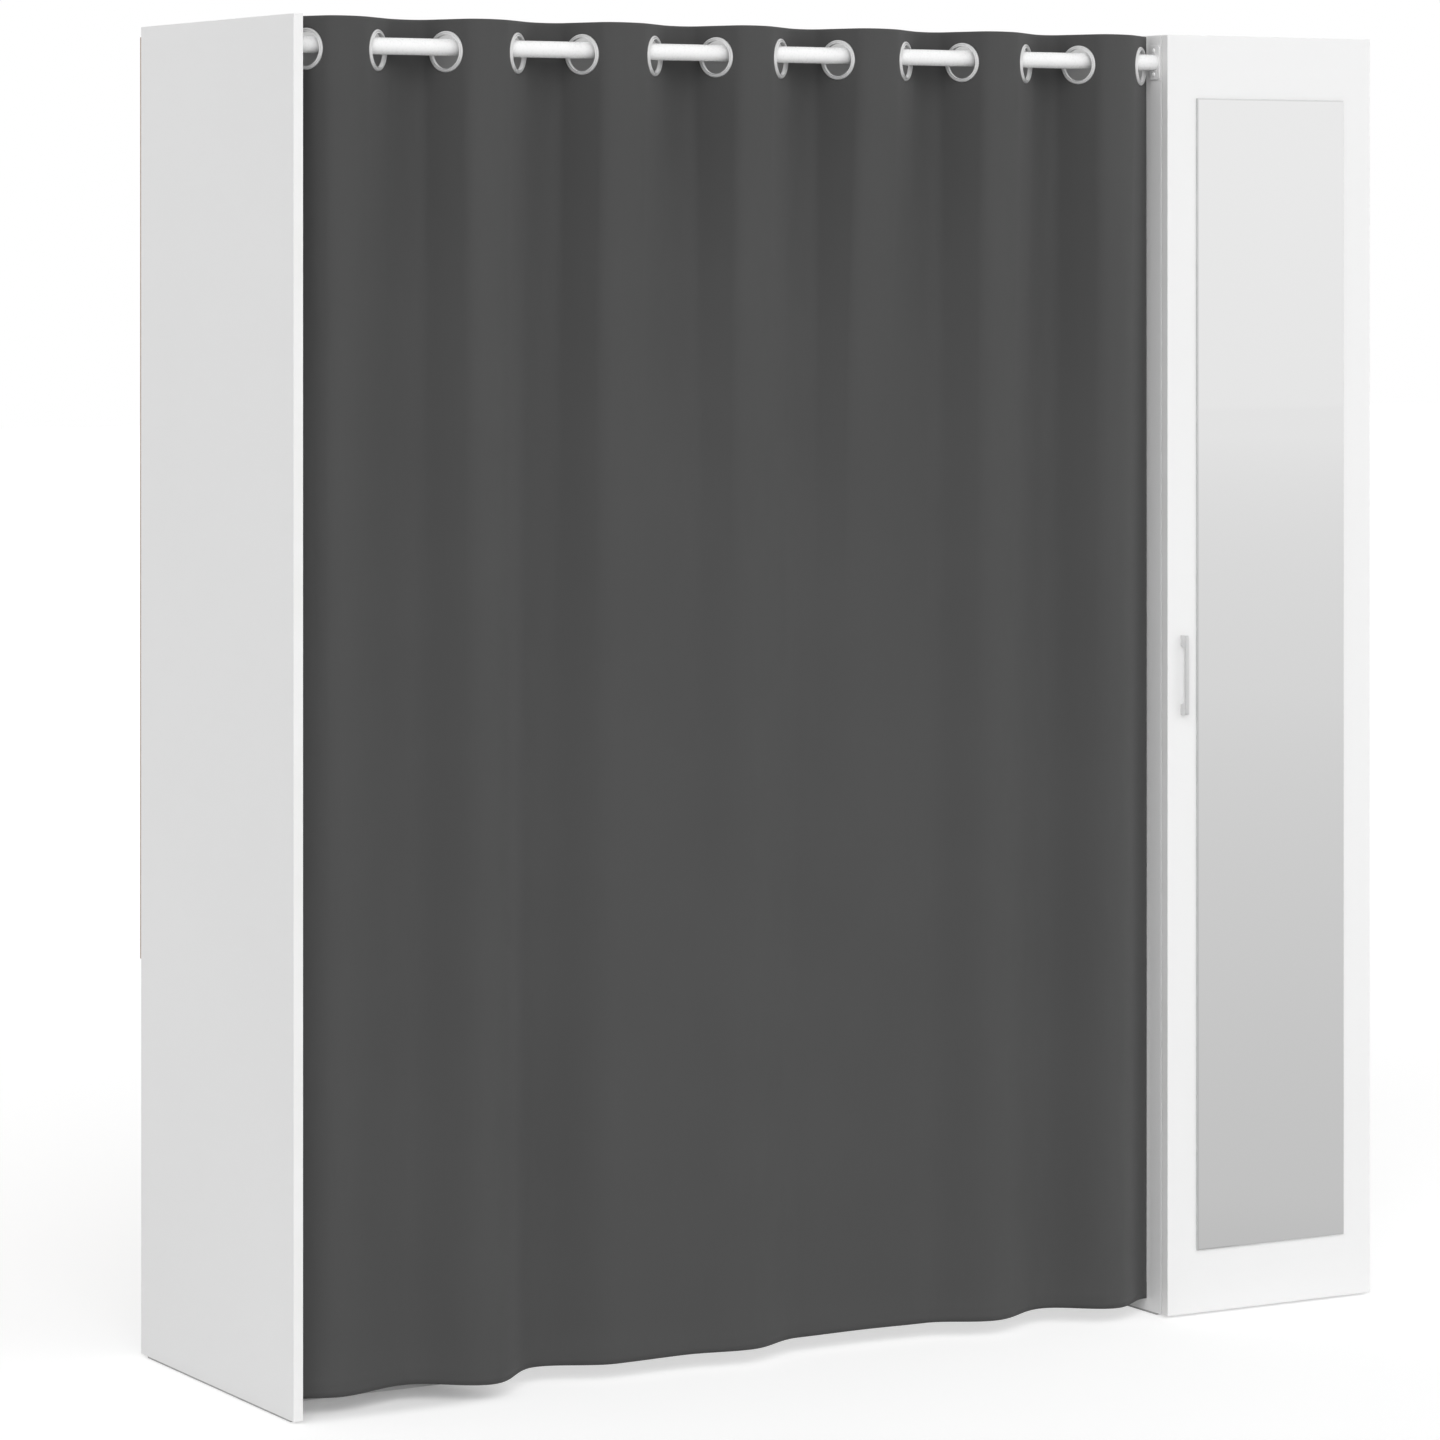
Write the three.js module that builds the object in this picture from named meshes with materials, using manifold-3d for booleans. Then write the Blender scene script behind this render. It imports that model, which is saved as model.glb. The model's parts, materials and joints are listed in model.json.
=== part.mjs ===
// Curtain wardrobe: an open shelf column on the left and a mirrored cabinet on the right,
// joined by a curtain rod and a hanging rod, with a curtain on fourteen eyelets across the front.
// Inside the wardrobe's own group x runs from the left panel's outer face, y from the front
// plane to the back, and z from the lower edge of the boards. Lengths are in millimetres.
import * as THREE from 'three';
import { mergeVertices } from 'three/addons/utils/BufferGeometryUtils.js';
import Module from 'manifold-3d';

const wasm = await Module();
wasm.setup();

// Overall sizes of the carcass
const overallWidth = 1917;
const panelHeight = 2026;
const panelDepth = 547;
const boardThickness = 15;
const backThickness = 3;
const skidHeight = 4;
const seatGap = 0.3;
const cutOverrun = 1;

// Shelf column behind the left end of the curtain, under a top board that spans to the cabinet
const columnWidth = 396;
const interiorSetback = 100;
const plinthHeight = 60;
const plinthSetback = 22;
const columnFixedShelfHeight = 603;
const topBoardDrop = 30.5;
const columnShelfCount = 2;

// Mirrored cabinet
const cabinetWidth = 396;
const cabinetShelfSetback = 24;
const cabinetFixedShelfHeight = 1005;
const cabinetShelfHeightShares = [0.17, 0.345, 0.647, 0.815];

// Door with its surface mirror
const doorThickness = 16;
const doorGap = 2.5;
const mirrorThickness = 4;
const mirrorSideMargin = 55;
const mirrorEndMargin = 100;
const mirrorBevelWidth = 3;
const mirrorBevelDepth = 1;

// Bow handle
const handleLength = 126;
const handleWidth = 6.5;
const handleProjection = 14.5;
const handleBarThickness = 5.5;
const handleFootHeight = 17;
const handleOuterRound = 4;
const handleInnerRound = 6;
const handleInset = 28;

// Single-pivot cup hinge
const hingeEndInset = 111;
const hingeHeightShares = [0, 0.28, 0.72, 1];
const cupRadius = 17.3;
const cupWall = 0.6;
const cupDepth = 12.1;
const cupInset = 20;
const cupRimRadius = 17.9;
const cupRimThickness = 1;
const cupSides = 24;
const earReach = 24;
const earRadius = 6;
const earInset = 9.5;
const hingePinInset = 6.4;
const hingePinDepth = 9;
const hingePinRadius = 1.1;
const lugThickness = 1.9;
const lugInnerReach = 2.2;
const lugOuterReach = 1.5;
const lugClearance = 0.5;
const pinSides = 12;
const knuckleRadius = 2.2;
const armThickness = 1.8;
const armWidth = 10;
const armHookReach = 18;
const armHookRound = 6;
const armBodyStart = 14;
const armBodyEnd = 66;
const armBodyHeight = 8;
const hingePlateThickness = 2.2;
const hingePlateHeight = 46;
const hingePlateStart = 24;
const hingePlateEnd = 56;

// Flange screws
const screwHeadRadius = 3.5;
const screwTopRadius = 2.1;
const screwHeadThickness = 1.5;
const screwShankRadius = 1.6;
const screwGrip = 11;
const screwSides = 10;

// Curtain rod, hanging rod and their flanges
const rodRadius = 12.5;
const rodWall = 1.2;
const rodSides = 24;
const rodSetback = 33.8;
const rodDrop = 43;
const hangingRodDrop = 105.5;
const flangeWidth = 28.4;
const flangeHeight = 54.7;
const flangeThickness = 2.5;
const flangeCornerRadius = 6;
const collarWall = 1.4;
const collarLength = 1.2;
const flangeScrewSpacing = 38;

// Curtain and its eyelets
const eyeletShares = [
  0.0141, 0.0898, 0.1645, 0.2425, 0.3149, 0.3963, 0.4675,
  0.5419, 0.6102, 0.6903, 0.7593, 0.8367, 0.903, 0.9805,
];
const eyeletBore = 25;
const eyeletRadius = 30.5;
const eyeletThickness = 7;
const eyeletLip = 0.8;
const eyeletRimThickness = 4.4;
const eyeletGrooveRadius = 26.2;
const eyeletSides = 16;
const clearanceSteps = 8;
const dropTolerance = 0.01;
const risingTurn = THREE.MathUtils.degToRad(-63);
const fallingTurn = THREE.MathUtils.degToRad(40);
const clothThickness = 2;
const clothTopDrop = 1.5;
const clothHem = 20;
const clothHoleRadius = 27.6;
const clothHoleSides = 12;
const flatHalfLength = 32;
const headingDrop = 100;
const foldDepth = 45;
const foldRoundness = 27;
const foldSteps = 4;
const clothSideHem = 2;
const flatStartShare = 0.3;
const flatEndShare = 0.7;
const footShares = [
  0.47, 0, 0.64, -0.73, 0.96, 0.07, 0.18, -0.18, 0.73, 0.78, 0.67, -0.2, 0.78, -0.49, 0.47,
];
const easeRows = [
  { heightShare: 0.8, ease: 0.5 },
  { heightShare: 0.55, ease: 0.8 },
  { heightShare: 0.25, ease: 0.95 },
  { heightShare: 0, ease: 1 },
];

// Plastic skids under the upright boards
const skidWidth = 9;
const skidInset = 18;

// Places that several pieces share
const topBoardHeight = panelHeight - topBoardDrop;
const rodHeight = panelHeight - rodDrop;
const hangingRodHeight = topBoardHeight - hangingRodDrop;
const clothTop = panelHeight - clothTopDrop;
const cabinetLeft = overallWidth - cabinetWidth;
const doorBack = doorThickness;
const cabinetFront = doorBack + doorGap;
const openingWidth = cabinetLeft - boardThickness;
const backSeam = cabinetLeft + boardThickness / 2;
const columnInside = [boardThickness + seatGap, columnWidth - boardThickness - seatGap];
const cabinetInside = [
  cabinetLeft + boardThickness + seatGap,
  overallWidth - boardThickness - seatGap,
];
const columnDepthSpan = [interiorSetback, panelDepth];
const cabinetDepthSpan = [cabinetFront, panelDepth];
const backDepthSpan = [panelDepth + seatGap, panelDepth + seatGap + backThickness];
const columnShelfPitch = (topBoardHeight - columnFixedShelfHeight) / (columnShelfCount + 1);
const columnShelfHeights = Array.from(
  { length: columnShelfCount },
  (_, step) => columnFixedShelfHeight + (step + 1) * columnShelfPitch,
);
const cabinetShelfHeights = cabinetShelfHeightShares.map((share) => share * panelHeight);
const doorCentreX = overallWidth - cabinetWidth / 2;
const doorCentreZ = panelHeight / 2;

// Finishes
const finish = (color, roughness, metalness) => ({ color, roughness, metalness });
const whiteBoard = finish(0xf2f2f2, 0.45, 0);
const hardboard = finish(0xb59a84, 0.8, 0);
const whiteSteel = finish(0xf7f7f7, 0.3, 0.1);
const brightSteel = finish(0xb9bbbd, 0.28, 0.9);
const satinMetal = finish(0xb4b6b8, 0.35, 0.8);
const mirrorGlass = finish(0xe6e9ea, 0.03, 1);
const skidPlastic = finish(0x6d6d6f, 0.6, 0);
const greyCloth = finish(0x4f4f50, 0.9, 0);

// Solids: closed geometries are cut and joined as manifolds
function toSolid(geometry) {
  const plain = geometry.clone();
  plain.deleteAttribute('normal');
  plain.deleteAttribute('uv');
  const merged = mergeVertices(plain);
  const solid = new wasm.Manifold(new wasm.Mesh({
    numProp: 3,
    vertProperties: merged.attributes.position.array,
    triVerts: Uint32Array.from(merged.index.array),
  }));
  return solid;
}

function toGeometry(solid) {
  const mesh = solid.getMesh();
  const geometry = new THREE.BufferGeometry();
  geometry.setAttribute('position', new THREE.BufferAttribute(mesh.vertProperties, 3));
  geometry.setIndex(new THREE.BufferAttribute(mesh.triVerts, 1));
  geometry.computeVertexNormals();
  return geometry;
}

function cut(geometry, tools) {
  let solid = toSolid(geometry);
  for (const tool of tools) {
    solid = solid.subtract(toSolid(tool));
  }
  return toGeometry(solid);
}

function join(geometries) {
  let solid = toSolid(geometries[0]);
  for (const other of geometries.slice(1)) {
    solid = solid.add(toSolid(other));
  }
  return toGeometry(solid);
}

// Basic shapes, placed by spans and centres
const middle = (span) => (span[0] + span[1]) / 2;
const reach = (span) => span[1] - span[0];

function block(x, y, z) {
  const geometry = new THREE.BoxGeometry(reach(x), reach(y), reach(z));
  return geometry.translate(middle(x), middle(y), middle(z));
}

// A revolved profile of [radius, distance] points whose axis runs along x, y or z
function turned(points, sides, axis) {
  const profile = points.map(([radius, distance]) => new THREE.Vector2(radius, distance));
  const geometry = new THREE.LatheGeometry(profile, sides);
  if (axis === 'x') {
    geometry.rotateZ(-Math.PI / 2);
  }
  if (axis === 'z') {
    geometry.rotateX(Math.PI / 2);
  }
  return geometry;
}

function cylinder(radius, span, sides, axis) {
  const points = [[0, span[0]], [radius, span[0]], [radius, span[1]], [0, span[1]]];
  return turned(points, sides, axis);
}

function roundedPlate(width, height, radius) {
  const shape = new THREE.Shape();
  const right = width / 2;
  const top = height / 2;
  shape.moveTo(-right + radius, -top);
  shape.lineTo(right - radius, -top);
  shape.absarc(right - radius, -top + radius, radius, -Math.PI / 2, 0);
  shape.lineTo(right, top - radius);
  shape.absarc(right - radius, top - radius, radius, 0, Math.PI / 2);
  shape.lineTo(-right + radius, top);
  shape.absarc(-right + radius, top - radius, radius, Math.PI / 2, Math.PI);
  shape.lineTo(-right, -top + radius);
  shape.absarc(-right + radius, -top + radius, radius, Math.PI, 1.5 * Math.PI);
  return shape;
}

function part(name, geometry, surface, place = [0, 0, 0]) {
  const mesh = new THREE.Mesh(geometry, new THREE.MeshStandardMaterial(surface));
  mesh.name = name;
  mesh.position.set(...place);
  return mesh;
}

function board(name, x, y, z, surface = whiteBoard) {
  const geometry = new THREE.BoxGeometry(reach(x), reach(y), reach(z));
  return part(name, geometry, surface, [middle(x), middle(y), middle(z)]);
}

// Open shelf column on the left, with the top board and the back panel that run on to the cabinet
const fullHeight = [0, panelHeight];
const shelfAt = (height) => [height, height + boardThickness];

function drilledSide(name, x, y, holes) {
  return part(name, cut(block(x, y, fullHeight), holes), whiteBoard);
}

function shelfColumn() {
  const column = new THREE.Group();
  const plinthFront = interiorSetback + plinthSetback;
  const partitionSides = [columnWidth - boardThickness, columnWidth];
  const topBoardSides = [boardThickness + seatGap, cabinetLeft - seatGap];
  const backHeights = [columnFixedShelfHeight, topBoardHeight + boardThickness];
  column.add(
    drilledSide('left_side_panel', [0, boardThickness], [0, panelDepth], screwHoles(boardThickness, 1)),
    board('column_partition', partitionSides, columnDepthSpan, [0, topBoardHeight - seatGap]),
    board(
      'column_plinth', columnInside, [plinthFront, plinthFront + boardThickness],
      [0, plinthHeight - seatGap],
    ),
    board('column_bottom_shelf', columnInside, columnDepthSpan, shelfAt(plinthHeight)),
    board('column_fixed_shelf', columnInside, columnDepthSpan, shelfAt(columnFixedShelfHeight)),
    board('top_board', topBoardSides, columnDepthSpan, shelfAt(topBoardHeight)),
    board('back_panel', [0, backSeam - seatGap], backDepthSpan, backHeights, hardboard),
  );
  columnShelfHeights.forEach((height, index) => {
    column.add(board(`column_shelf_${index + 1}`, columnInside, columnDepthSpan, shelfAt(height)));
  });
  return column;
}

// Cabinet on the right, without its door
function mirrorCabinet() {
  const cabinet = new THREE.Group();
  const shelfDepth = [cabinetFront + cabinetShelfSetback, panelDepth];
  const leftSide = [cabinetLeft, cabinetLeft + boardThickness];
  const rightSide = [overallWidth - boardThickness, overallWidth];
  const plinthFront = cabinetFront + plinthSetback;
  const topHeight = panelHeight - boardThickness;
  cabinet.add(
    drilledSide('cabinet_left_side', leftSide, cabinetDepthSpan, screwHoles(cabinetLeft, -1)),
    board('cabinet_right_side', rightSide, cabinetDepthSpan, fullHeight),
    board(
      'cabinet_plinth', cabinetInside, [plinthFront, plinthFront + boardThickness],
      [0, plinthHeight - seatGap],
    ),
    board('cabinet_bottom', cabinetInside, cabinetDepthSpan, shelfAt(plinthHeight)),
    board('cabinet_fixed_shelf', cabinetInside, shelfDepth, shelfAt(cabinetFixedShelfHeight)),
    board('cabinet_top', cabinetInside, cabinetDepthSpan, shelfAt(topHeight)),
    board(
      'cabinet_back', [backSeam, overallWidth], backDepthSpan, [plinthHeight, panelHeight], hardboard,
    ),
  );
  cabinetShelfHeights.forEach((height, index) => {
    cabinet.add(board(`cabinet_shelf_${index + 1}`, cabinetInside, shelfDepth, shelfAt(height)));
  });
  return cabinet;
}

// Plastic skids with round ends under the four upright boards
function skid(name, centreX, depthSpan) {
  const length = reach(depthSpan) - 2 * skidInset;
  const outline = roundedPlate(skidWidth, length, skidWidth / 2);
  const strip = new THREE.ExtrudeGeometry(outline, {
    depth: skidHeight - seatGap, bevelEnabled: false, curveSegments: 3,
  });
  return part(name, strip, skidPlastic, [centreX, middle(depthSpan), -skidHeight]);
}

function floorSkids() {
  const half = boardThickness / 2;
  const skids = new THREE.Group();
  skids.add(
    skid('left_panel_skid', half, [0, panelDepth]),
    skid('partition_skid', columnWidth - half, columnDepthSpan),
    skid('cabinet_left_skid', cabinetLeft + half, cabinetDepthSpan),
    skid('cabinet_right_skid', overallWidth - half, cabinetDepthSpan),
  );
  return skids;
}

// A cup hinge is drawn round its pin: x runs towards the door's outer edge, y to the back
const cupShift = cupInset - hingePinInset;
const cupInner = cupRadius - cupWall;
const cupMouth = hingePinDepth + seatGap;
const cupFloor = cupMouth - cupDepth;
const cupRim = cupMouth + cupRimThickness;
const hingeHeights = hingeHeightShares.map((share) => (
  THREE.MathUtils.lerp(hingeEndInset, panelHeight - hingeEndInset, share)
));
const hingePlace = (height) => [overallWidth - hingePinInset, doorBack - hingePinDepth, height];

function hingeCup() {
  const shell = turned([
    [0, cupFloor - cupWall], [cupRadius, cupFloor - cupWall], [cupRadius, cupMouth],
    [cupRimRadius, cupMouth], [cupRimRadius, cupRim], [cupInner, cupRim], [cupInner, cupFloor],
    [0, cupFloor],
  ], cupSides, 'y');
  const ears = new THREE.ExtrudeGeometry(
    roundedPlate(2 * earRadius, 2 * (earReach + earRadius), earRadius),
    { depth: cupRimThickness, bevelEnabled: false, curveSegments: 3 },
  );
  ears.rotateX(Math.PI / 2).translate(-earInset, cupRim, 0);
  const bore = cylinder(cupInner, [cupFloor, cupRim + cutOverrun], cupSides, 'y');
  const lugStart = armWidth / 2 + lugClearance;
  const lugEnd = lugStart + lugThickness;
  const lugX = [cupShift - lugInnerReach, cupShift + lugOuterReach];
  const lugs = [[-lugEnd, -lugStart], [lugStart, lugEnd]].map((z) => (
    block(lugX, [cupFloor - cupWall / 2, lugInnerReach], z)
  ));
  const pin = cylinder(hingePinRadius, [-lugEnd, lugEnd], pinSides, 'z').translate(cupShift, 0, 0);
  return join([shell, cut(ears, [bore]), ...lugs, pin]).translate(-cupShift, 0, 0);
}

function hingeArm() {
  const outside = armHookReach;
  const inside = armHookReach - armThickness;
  const bottom = -knuckleRadius;
  const corner = bottom + armHookRound;
  const innerRound = armHookRound - armThickness;
  const bodyNear = outside - armBodyHeight;
  const shape = new THREE.Shape();
  shape.absarc(0, 0, knuckleRadius, 0, 1.5 * Math.PI);
  shape.lineTo(outside - armHookRound, bottom);
  shape.absarc(outside - armHookRound, corner, armHookRound, -Math.PI / 2, 0);
  shape.lineTo(outside, armBodyEnd);
  shape.lineTo(bodyNear, armBodyEnd);
  shape.lineTo(bodyNear, armBodyStart);
  shape.lineTo(inside, armBodyStart - armThickness);
  shape.lineTo(inside, corner);
  shape.absarc(inside - innerRound, corner, innerRound, 0, -Math.PI / 2, true);
  shape.lineTo(knuckleRadius, bottom + armThickness);
  const bore = new THREE.Path();
  bore.absarc(0, 0, hingePinRadius + seatGap, 0, 2 * Math.PI, true);
  shape.holes.push(bore);
  const arm = new THREE.ExtrudeGeometry(shape, {
    depth: armWidth, bevelEnabled: false, curveSegments: 6,
  });
  arm.translate(0, 0, -armWidth / 2).rotateY(Math.PI);
  const face = boardThickness - hingePinInset + seatGap;
  const half = hingePlateHeight / 2;
  const plate = block(
    [-face - hingePlateThickness, -face], [hingePlateStart, hingePlateEnd], [-half, half],
  );
  return join([arm, plate]);
}

function numbered(name, make, surface) {
  return hingeHeights.map((height, index) => (
    part(`${name}_${index + 1}`, make(), surface, hingePlace(height))
  ));
}

// Door board with its cup pockets
function doorBoard() {
  const pocketFloor = doorBack + seatGap - cupDepth - cupWall - seatGap;
  const pockets = hingeHeights.map((z) => (
    cylinder(cupRadius + seatGap, [pocketFloor, doorBack + cutOverrun], cupSides, 'y')
      .translate(overallWidth - cupInset, 0, z)
  ));
  const panel = block([cabinetLeft, overallWidth], [0, doorThickness], fullHeight);
  return part('mirror_door', cut(panel, pockets), whiteBoard);
}

// Mirror pane with a bevelled front edge
function mirrorPane() {
  const width = cabinetWidth - 2 * mirrorSideMargin;
  const height = panelHeight - 2 * mirrorEndMargin;
  const flat = new THREE.Shape();
  const right = width / 2 - mirrorBevelWidth;
  const top = height / 2 - mirrorBevelWidth;
  flat.moveTo(-right, -top);
  flat.lineTo(right, -top);
  flat.lineTo(right, top);
  flat.lineTo(-right, top);
  const pane = new THREE.ExtrudeGeometry(flat, {
    depth: mirrorThickness,
    bevelEnabled: true,
    bevelThickness: mirrorBevelDepth,
    bevelSize: mirrorBevelWidth,
    bevelSegments: 1,
  });
  const behind = block([-width, width], [-height, height], [-mirrorThickness, mirrorBevelDepth]);
  const geometry = cut(pane, [behind]);
  geometry.translate(0, 0, -mirrorBevelDepth).rotateX(Math.PI / 2);
  return part('door_mirror', geometry, mirrorGlass, [doorCentreX, -seatGap, doorCentreZ]);
}

// Bow handle: two feet on the door and a bar between them, cut from one side profile
function doorHandle() {
  const half = handleLength / 2;
  const front = handleProjection - seatGap;
  const inner = half - handleFootHeight;
  const gap = front - handleBarThickness;
  const innerX = inner - handleInnerRound;
  const innerY = gap - handleInnerRound;
  const outerX = half - handleOuterRound;
  const outerY = front - handleOuterRound;
  const quarter = Math.PI / 2;
  const shape = new THREE.Shape();
  shape.moveTo(-half, 0);
  shape.lineTo(-inner, 0);
  shape.lineTo(-inner, innerY);
  shape.absarc(-innerX, innerY, handleInnerRound, Math.PI, quarter, true);
  shape.lineTo(innerX, gap);
  shape.absarc(innerX, innerY, handleInnerRound, quarter, 0, true);
  shape.lineTo(inner, 0);
  shape.lineTo(half, 0);
  shape.lineTo(half, outerY);
  shape.absarc(outerX, outerY, handleOuterRound, 0, quarter);
  shape.lineTo(-outerX, front);
  shape.absarc(-outerX, outerY, handleOuterRound, quarter, Math.PI);
  const bow = new THREE.ExtrudeGeometry(shape, {
    depth: handleWidth, bevelEnabled: false, curveSegments: 4,
  });
  bow.translate(0, 0, -handleWidth / 2);
  bow.applyMatrix4(new THREE.Matrix4().makeBasis(
    new THREE.Vector3(0, 0, 1), new THREE.Vector3(0, -1, 0), new THREE.Vector3(1, 0, 0),
  ));
  const place = [cabinetLeft + handleInset, -seatGap, doorCentreZ];
  return part('door_handle', bow, satinMetal, place);
}

// Rods are tubes whose ends sit in the collars of two screwed flanges
function rodTube(name, from, to, y, z, surface) {
  const span = [from + 2 * seatGap, to - 2 * seatGap];
  const inner = rodRadius - rodWall;
  const points = [
    [inner, span[0]], [rodRadius, span[0]], [rodRadius, span[1]], [inner, span[1]], [inner, span[0]],
  ];
  return part(name, turned(points, rodSides, 'x'), surface, [0, y, z]);
}

const flangeScrewOffsets = [-flangeScrewSpacing / 2, flangeScrewSpacing / 2];

function flange(name, face, direction, y, z) {
  const outline = roundedPlate(flangeWidth, flangeHeight, flangeCornerRadius);
  const plate = new THREE.ExtrudeGeometry(outline, {
    depth: flangeThickness, bevelEnabled: false, curveSegments: 4,
  });
  plate.applyMatrix4(new THREE.Matrix4().makeBasis(
    new THREE.Vector3(0, 1, 0), new THREE.Vector3(0, 0, 1), new THREE.Vector3(1, 0, 0),
  ));
  const bore = rodRadius + seatGap;
  const depth = flangeThickness + collarLength;
  const collar = cylinder(bore + collarWall, [0, depth], rodSides, 'x');
  const tunnel = cylinder(bore, [-cutOverrun, depth + cutOverrun], rodSides, 'x');
  const holes = flangeScrewOffsets.map((offset) => (
    cylinder(screwShankRadius + seatGap, [-cutOverrun, depth], screwSides, 'x').translate(0, 0, offset)
  ));
  const geometry = cut(join([plate, collar]), [tunnel, ...holes]);
  if (direction < 0) {
    geometry.rotateZ(Math.PI);
  }
  return part(name, geometry, whiteSteel, [face + direction * seatGap, y, z]);
}

// Screws of the curtain rod's flanges, and the holes for them in the boards
function flangeScrew(name, face, direction, offset) {
  const under = flangeThickness + 2 * seatGap;
  const geometry = turned([
    [0, under - screwGrip], [screwShankRadius, under - screwGrip], [screwShankRadius, under],
    [screwHeadRadius, under], [screwTopRadius, under + screwHeadThickness],
    [0, under + screwHeadThickness],
  ], screwSides, 'x');
  if (direction < 0) {
    geometry.rotateZ(Math.PI);
  }
  return part(name, geometry, brightSteel, [face, rodSetback, rodHeight + offset]);
}

function screwHoles(face, direction) {
  const span = direction > 0 ? [-screwGrip, cutOverrun] : [-cutOverrun, screwGrip];
  return flangeScrewOffsets.map((offset) => (
    cylinder(screwShankRadius + seatGap, span, screwSides, 'x')
      .translate(face, rodSetback, rodHeight + offset)
  ));
}

function rods() {
  const rail = new THREE.Group();
  const leftFace = boardThickness;
  const rightFace = cabinetLeft;
  const hangingY = middle(columnDepthSpan);
  rail.add(
    rodTube('curtain_rod', leftFace, rightFace, rodSetback, rodHeight, whiteSteel),
    flange('rod_flange_left', leftFace, 1, rodSetback, rodHeight),
    flange('rod_flange_right', rightFace, -1, rodSetback, rodHeight),
    rodTube('hanging_rod', columnWidth, rightFace, hangingY, hangingRodHeight, brightSteel),
    flange('hanging_flange_left', columnWidth, 1, hangingY, hangingRodHeight),
    flange('hanging_flange_right', rightFace, -1, hangingY, hangingRodHeight),
  );
  flangeScrewOffsets.forEach((offset, index) => {
    rail.add(
      flangeScrew(`rod_screw_left_${index + 1}`, leftFace, 1, offset),
      flangeScrew(`rod_screw_right_${index + 1}`, rightFace, -1, offset),
    );
  });
  return rail;
}

// Eyelets hang on the rod: the one with the least room drops until its bore meets the tube,
// and the others hang level with it
const eyeletTurn = (index) => (index % 2 === 0 ? risingTurn : fallingTurn);
const eyeletX = eyeletShares.map((share) => boardThickness + share * openingWidth);
const halfEyelet = eyeletThickness / 2;
const boreEdges = [
  [eyeletBore, halfEyelet - eyeletLip],
  [eyeletBore + eyeletLip, halfEyelet],
];

function boreClearance(turn, drop) {
  const inscribed = Math.cos(Math.PI / eyeletSides);
  const stepCount = clearanceSteps * eyeletSides;
  let least = Infinity;
  for (let step = 0; step < stepCount; step += 1) {
    const around = (2 * Math.PI * step) / stepCount;
    for (const [radius, offset] of boreEdges) {
      for (const side of [-offset, offset]) {
        const y = radius * inscribed * Math.cos(around) * Math.sin(turn) + side * Math.cos(turn);
        const z = radius * inscribed * Math.sin(around) - drop;
        least = Math.min(least, Math.hypot(y, z));
      }
    }
  }
  return least - rodRadius;
}

function eyeletDrop(turn) {
  let low = 0;
  let high = eyeletBore;
  while (high - low > dropTolerance) {
    const drop = (low + high) / 2;
    if (boreClearance(turn, drop) > seatGap) {
      low = drop;
    } else {
      high = drop;
    }
  }
  return low;
}

const eyeletHeight = rodHeight - Math.min(eyeletDrop(risingTurn), eyeletDrop(fallingTurn));

// An eyelet is two lips with a groove between them that clamps the edge of the cloth
function eyeletGeometry() {
  const groove = clothThickness / 2 + seatGap;
  const rim = eyeletRimThickness / 2;
  const shoulder = (eyeletBore + eyeletLip + eyeletRadius) / 2;
  return turned([
    [eyeletBore, -halfEyelet + eyeletLip], [eyeletBore + eyeletLip, -halfEyelet],
    [shoulder, -halfEyelet], [eyeletRadius, -rim], [eyeletRadius, -groove],
    [eyeletGrooveRadius, -groove], [eyeletGrooveRadius, groove], [eyeletRadius, groove],
    [eyeletRadius, rim], [shoulder, halfEyelet], [eyeletBore + eyeletLip, halfEyelet],
    [eyeletBore, halfEyelet - eyeletLip], [eyeletBore, -halfEyelet + eyeletLip],
  ], eyeletSides, 'y');
}

function eyelets() {
  const row = new THREE.Group();
  eyeletX.forEach((x, index) => {
    const name = `eyelet_${String(index + 1).padStart(2, '0')}`;
    const eyelet = part(name, eyeletGeometry(), satinMetal, [x, rodSetback, eyeletHeight]);
    eyelet.rotation.z = eyeletTurn(index);
    row.add(eyelet);
  });
  return row;
}

// The curtain's plan line: a straight flat through each eyelet and a rounded fold between flats.
// Phases count eyelets along the cloth, with whole numbers at the middles of the folds.
function clothFlats() {
  const last = eyeletX.length - 1;
  return eyeletX.map((x, index) => {
    const turn = eyeletTurn(index);
    const along = new THREE.Vector2(Math.cos(turn), Math.sin(turn));
    const centre = new THREE.Vector2(x, rodSetback);
    const before = flatHalfLength + (index === 0 ? clothSideHem : 0);
    const after = flatHalfLength + (index === last ? clothSideHem : 0);
    return {
      along,
      start: centre.clone().addScaledVector(along, -before),
      end: centre.clone().addScaledVector(along, after),
    };
  });
}

function foldBetween(flat, next, index) {
  const curve = new THREE.CubicBezierCurve(
    flat.end,
    flat.end.clone().addScaledVector(flat.along, foldRoundness),
    next.start.clone().addScaledVector(next.along, -foldRoundness),
    next.start,
  );
  const columns = [];
  for (let step = 1; step < foldSteps; step += 1) {
    const share = step / foldSteps;
    const phase = THREE.MathUtils.lerp(index + flatEndShare, index + 1 + flatStartShare, share);
    columns.push({ top: curve.getPoint(share), along: curve.getTangent(share), phase });
  }
  return columns;
}

function clothColumns() {
  const flats = clothFlats();
  const columns = [];
  flats.forEach((flat, index) => {
    columns.push({ top: flat.start, along: flat.along, phase: index + flatStartShare });
    columns.push({ top: flat.end, along: flat.along, phase: index + flatEndShare });
    if (index + 1 < flats.length) {
      columns.push(...foldBetween(flat, flats[index + 1], index));
    }
  });
  columns[0].phase = 0;
  columns[columns.length - 1].phase = flats.length;
  addFeet(columns, flats.length);
  return columns;
}

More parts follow.
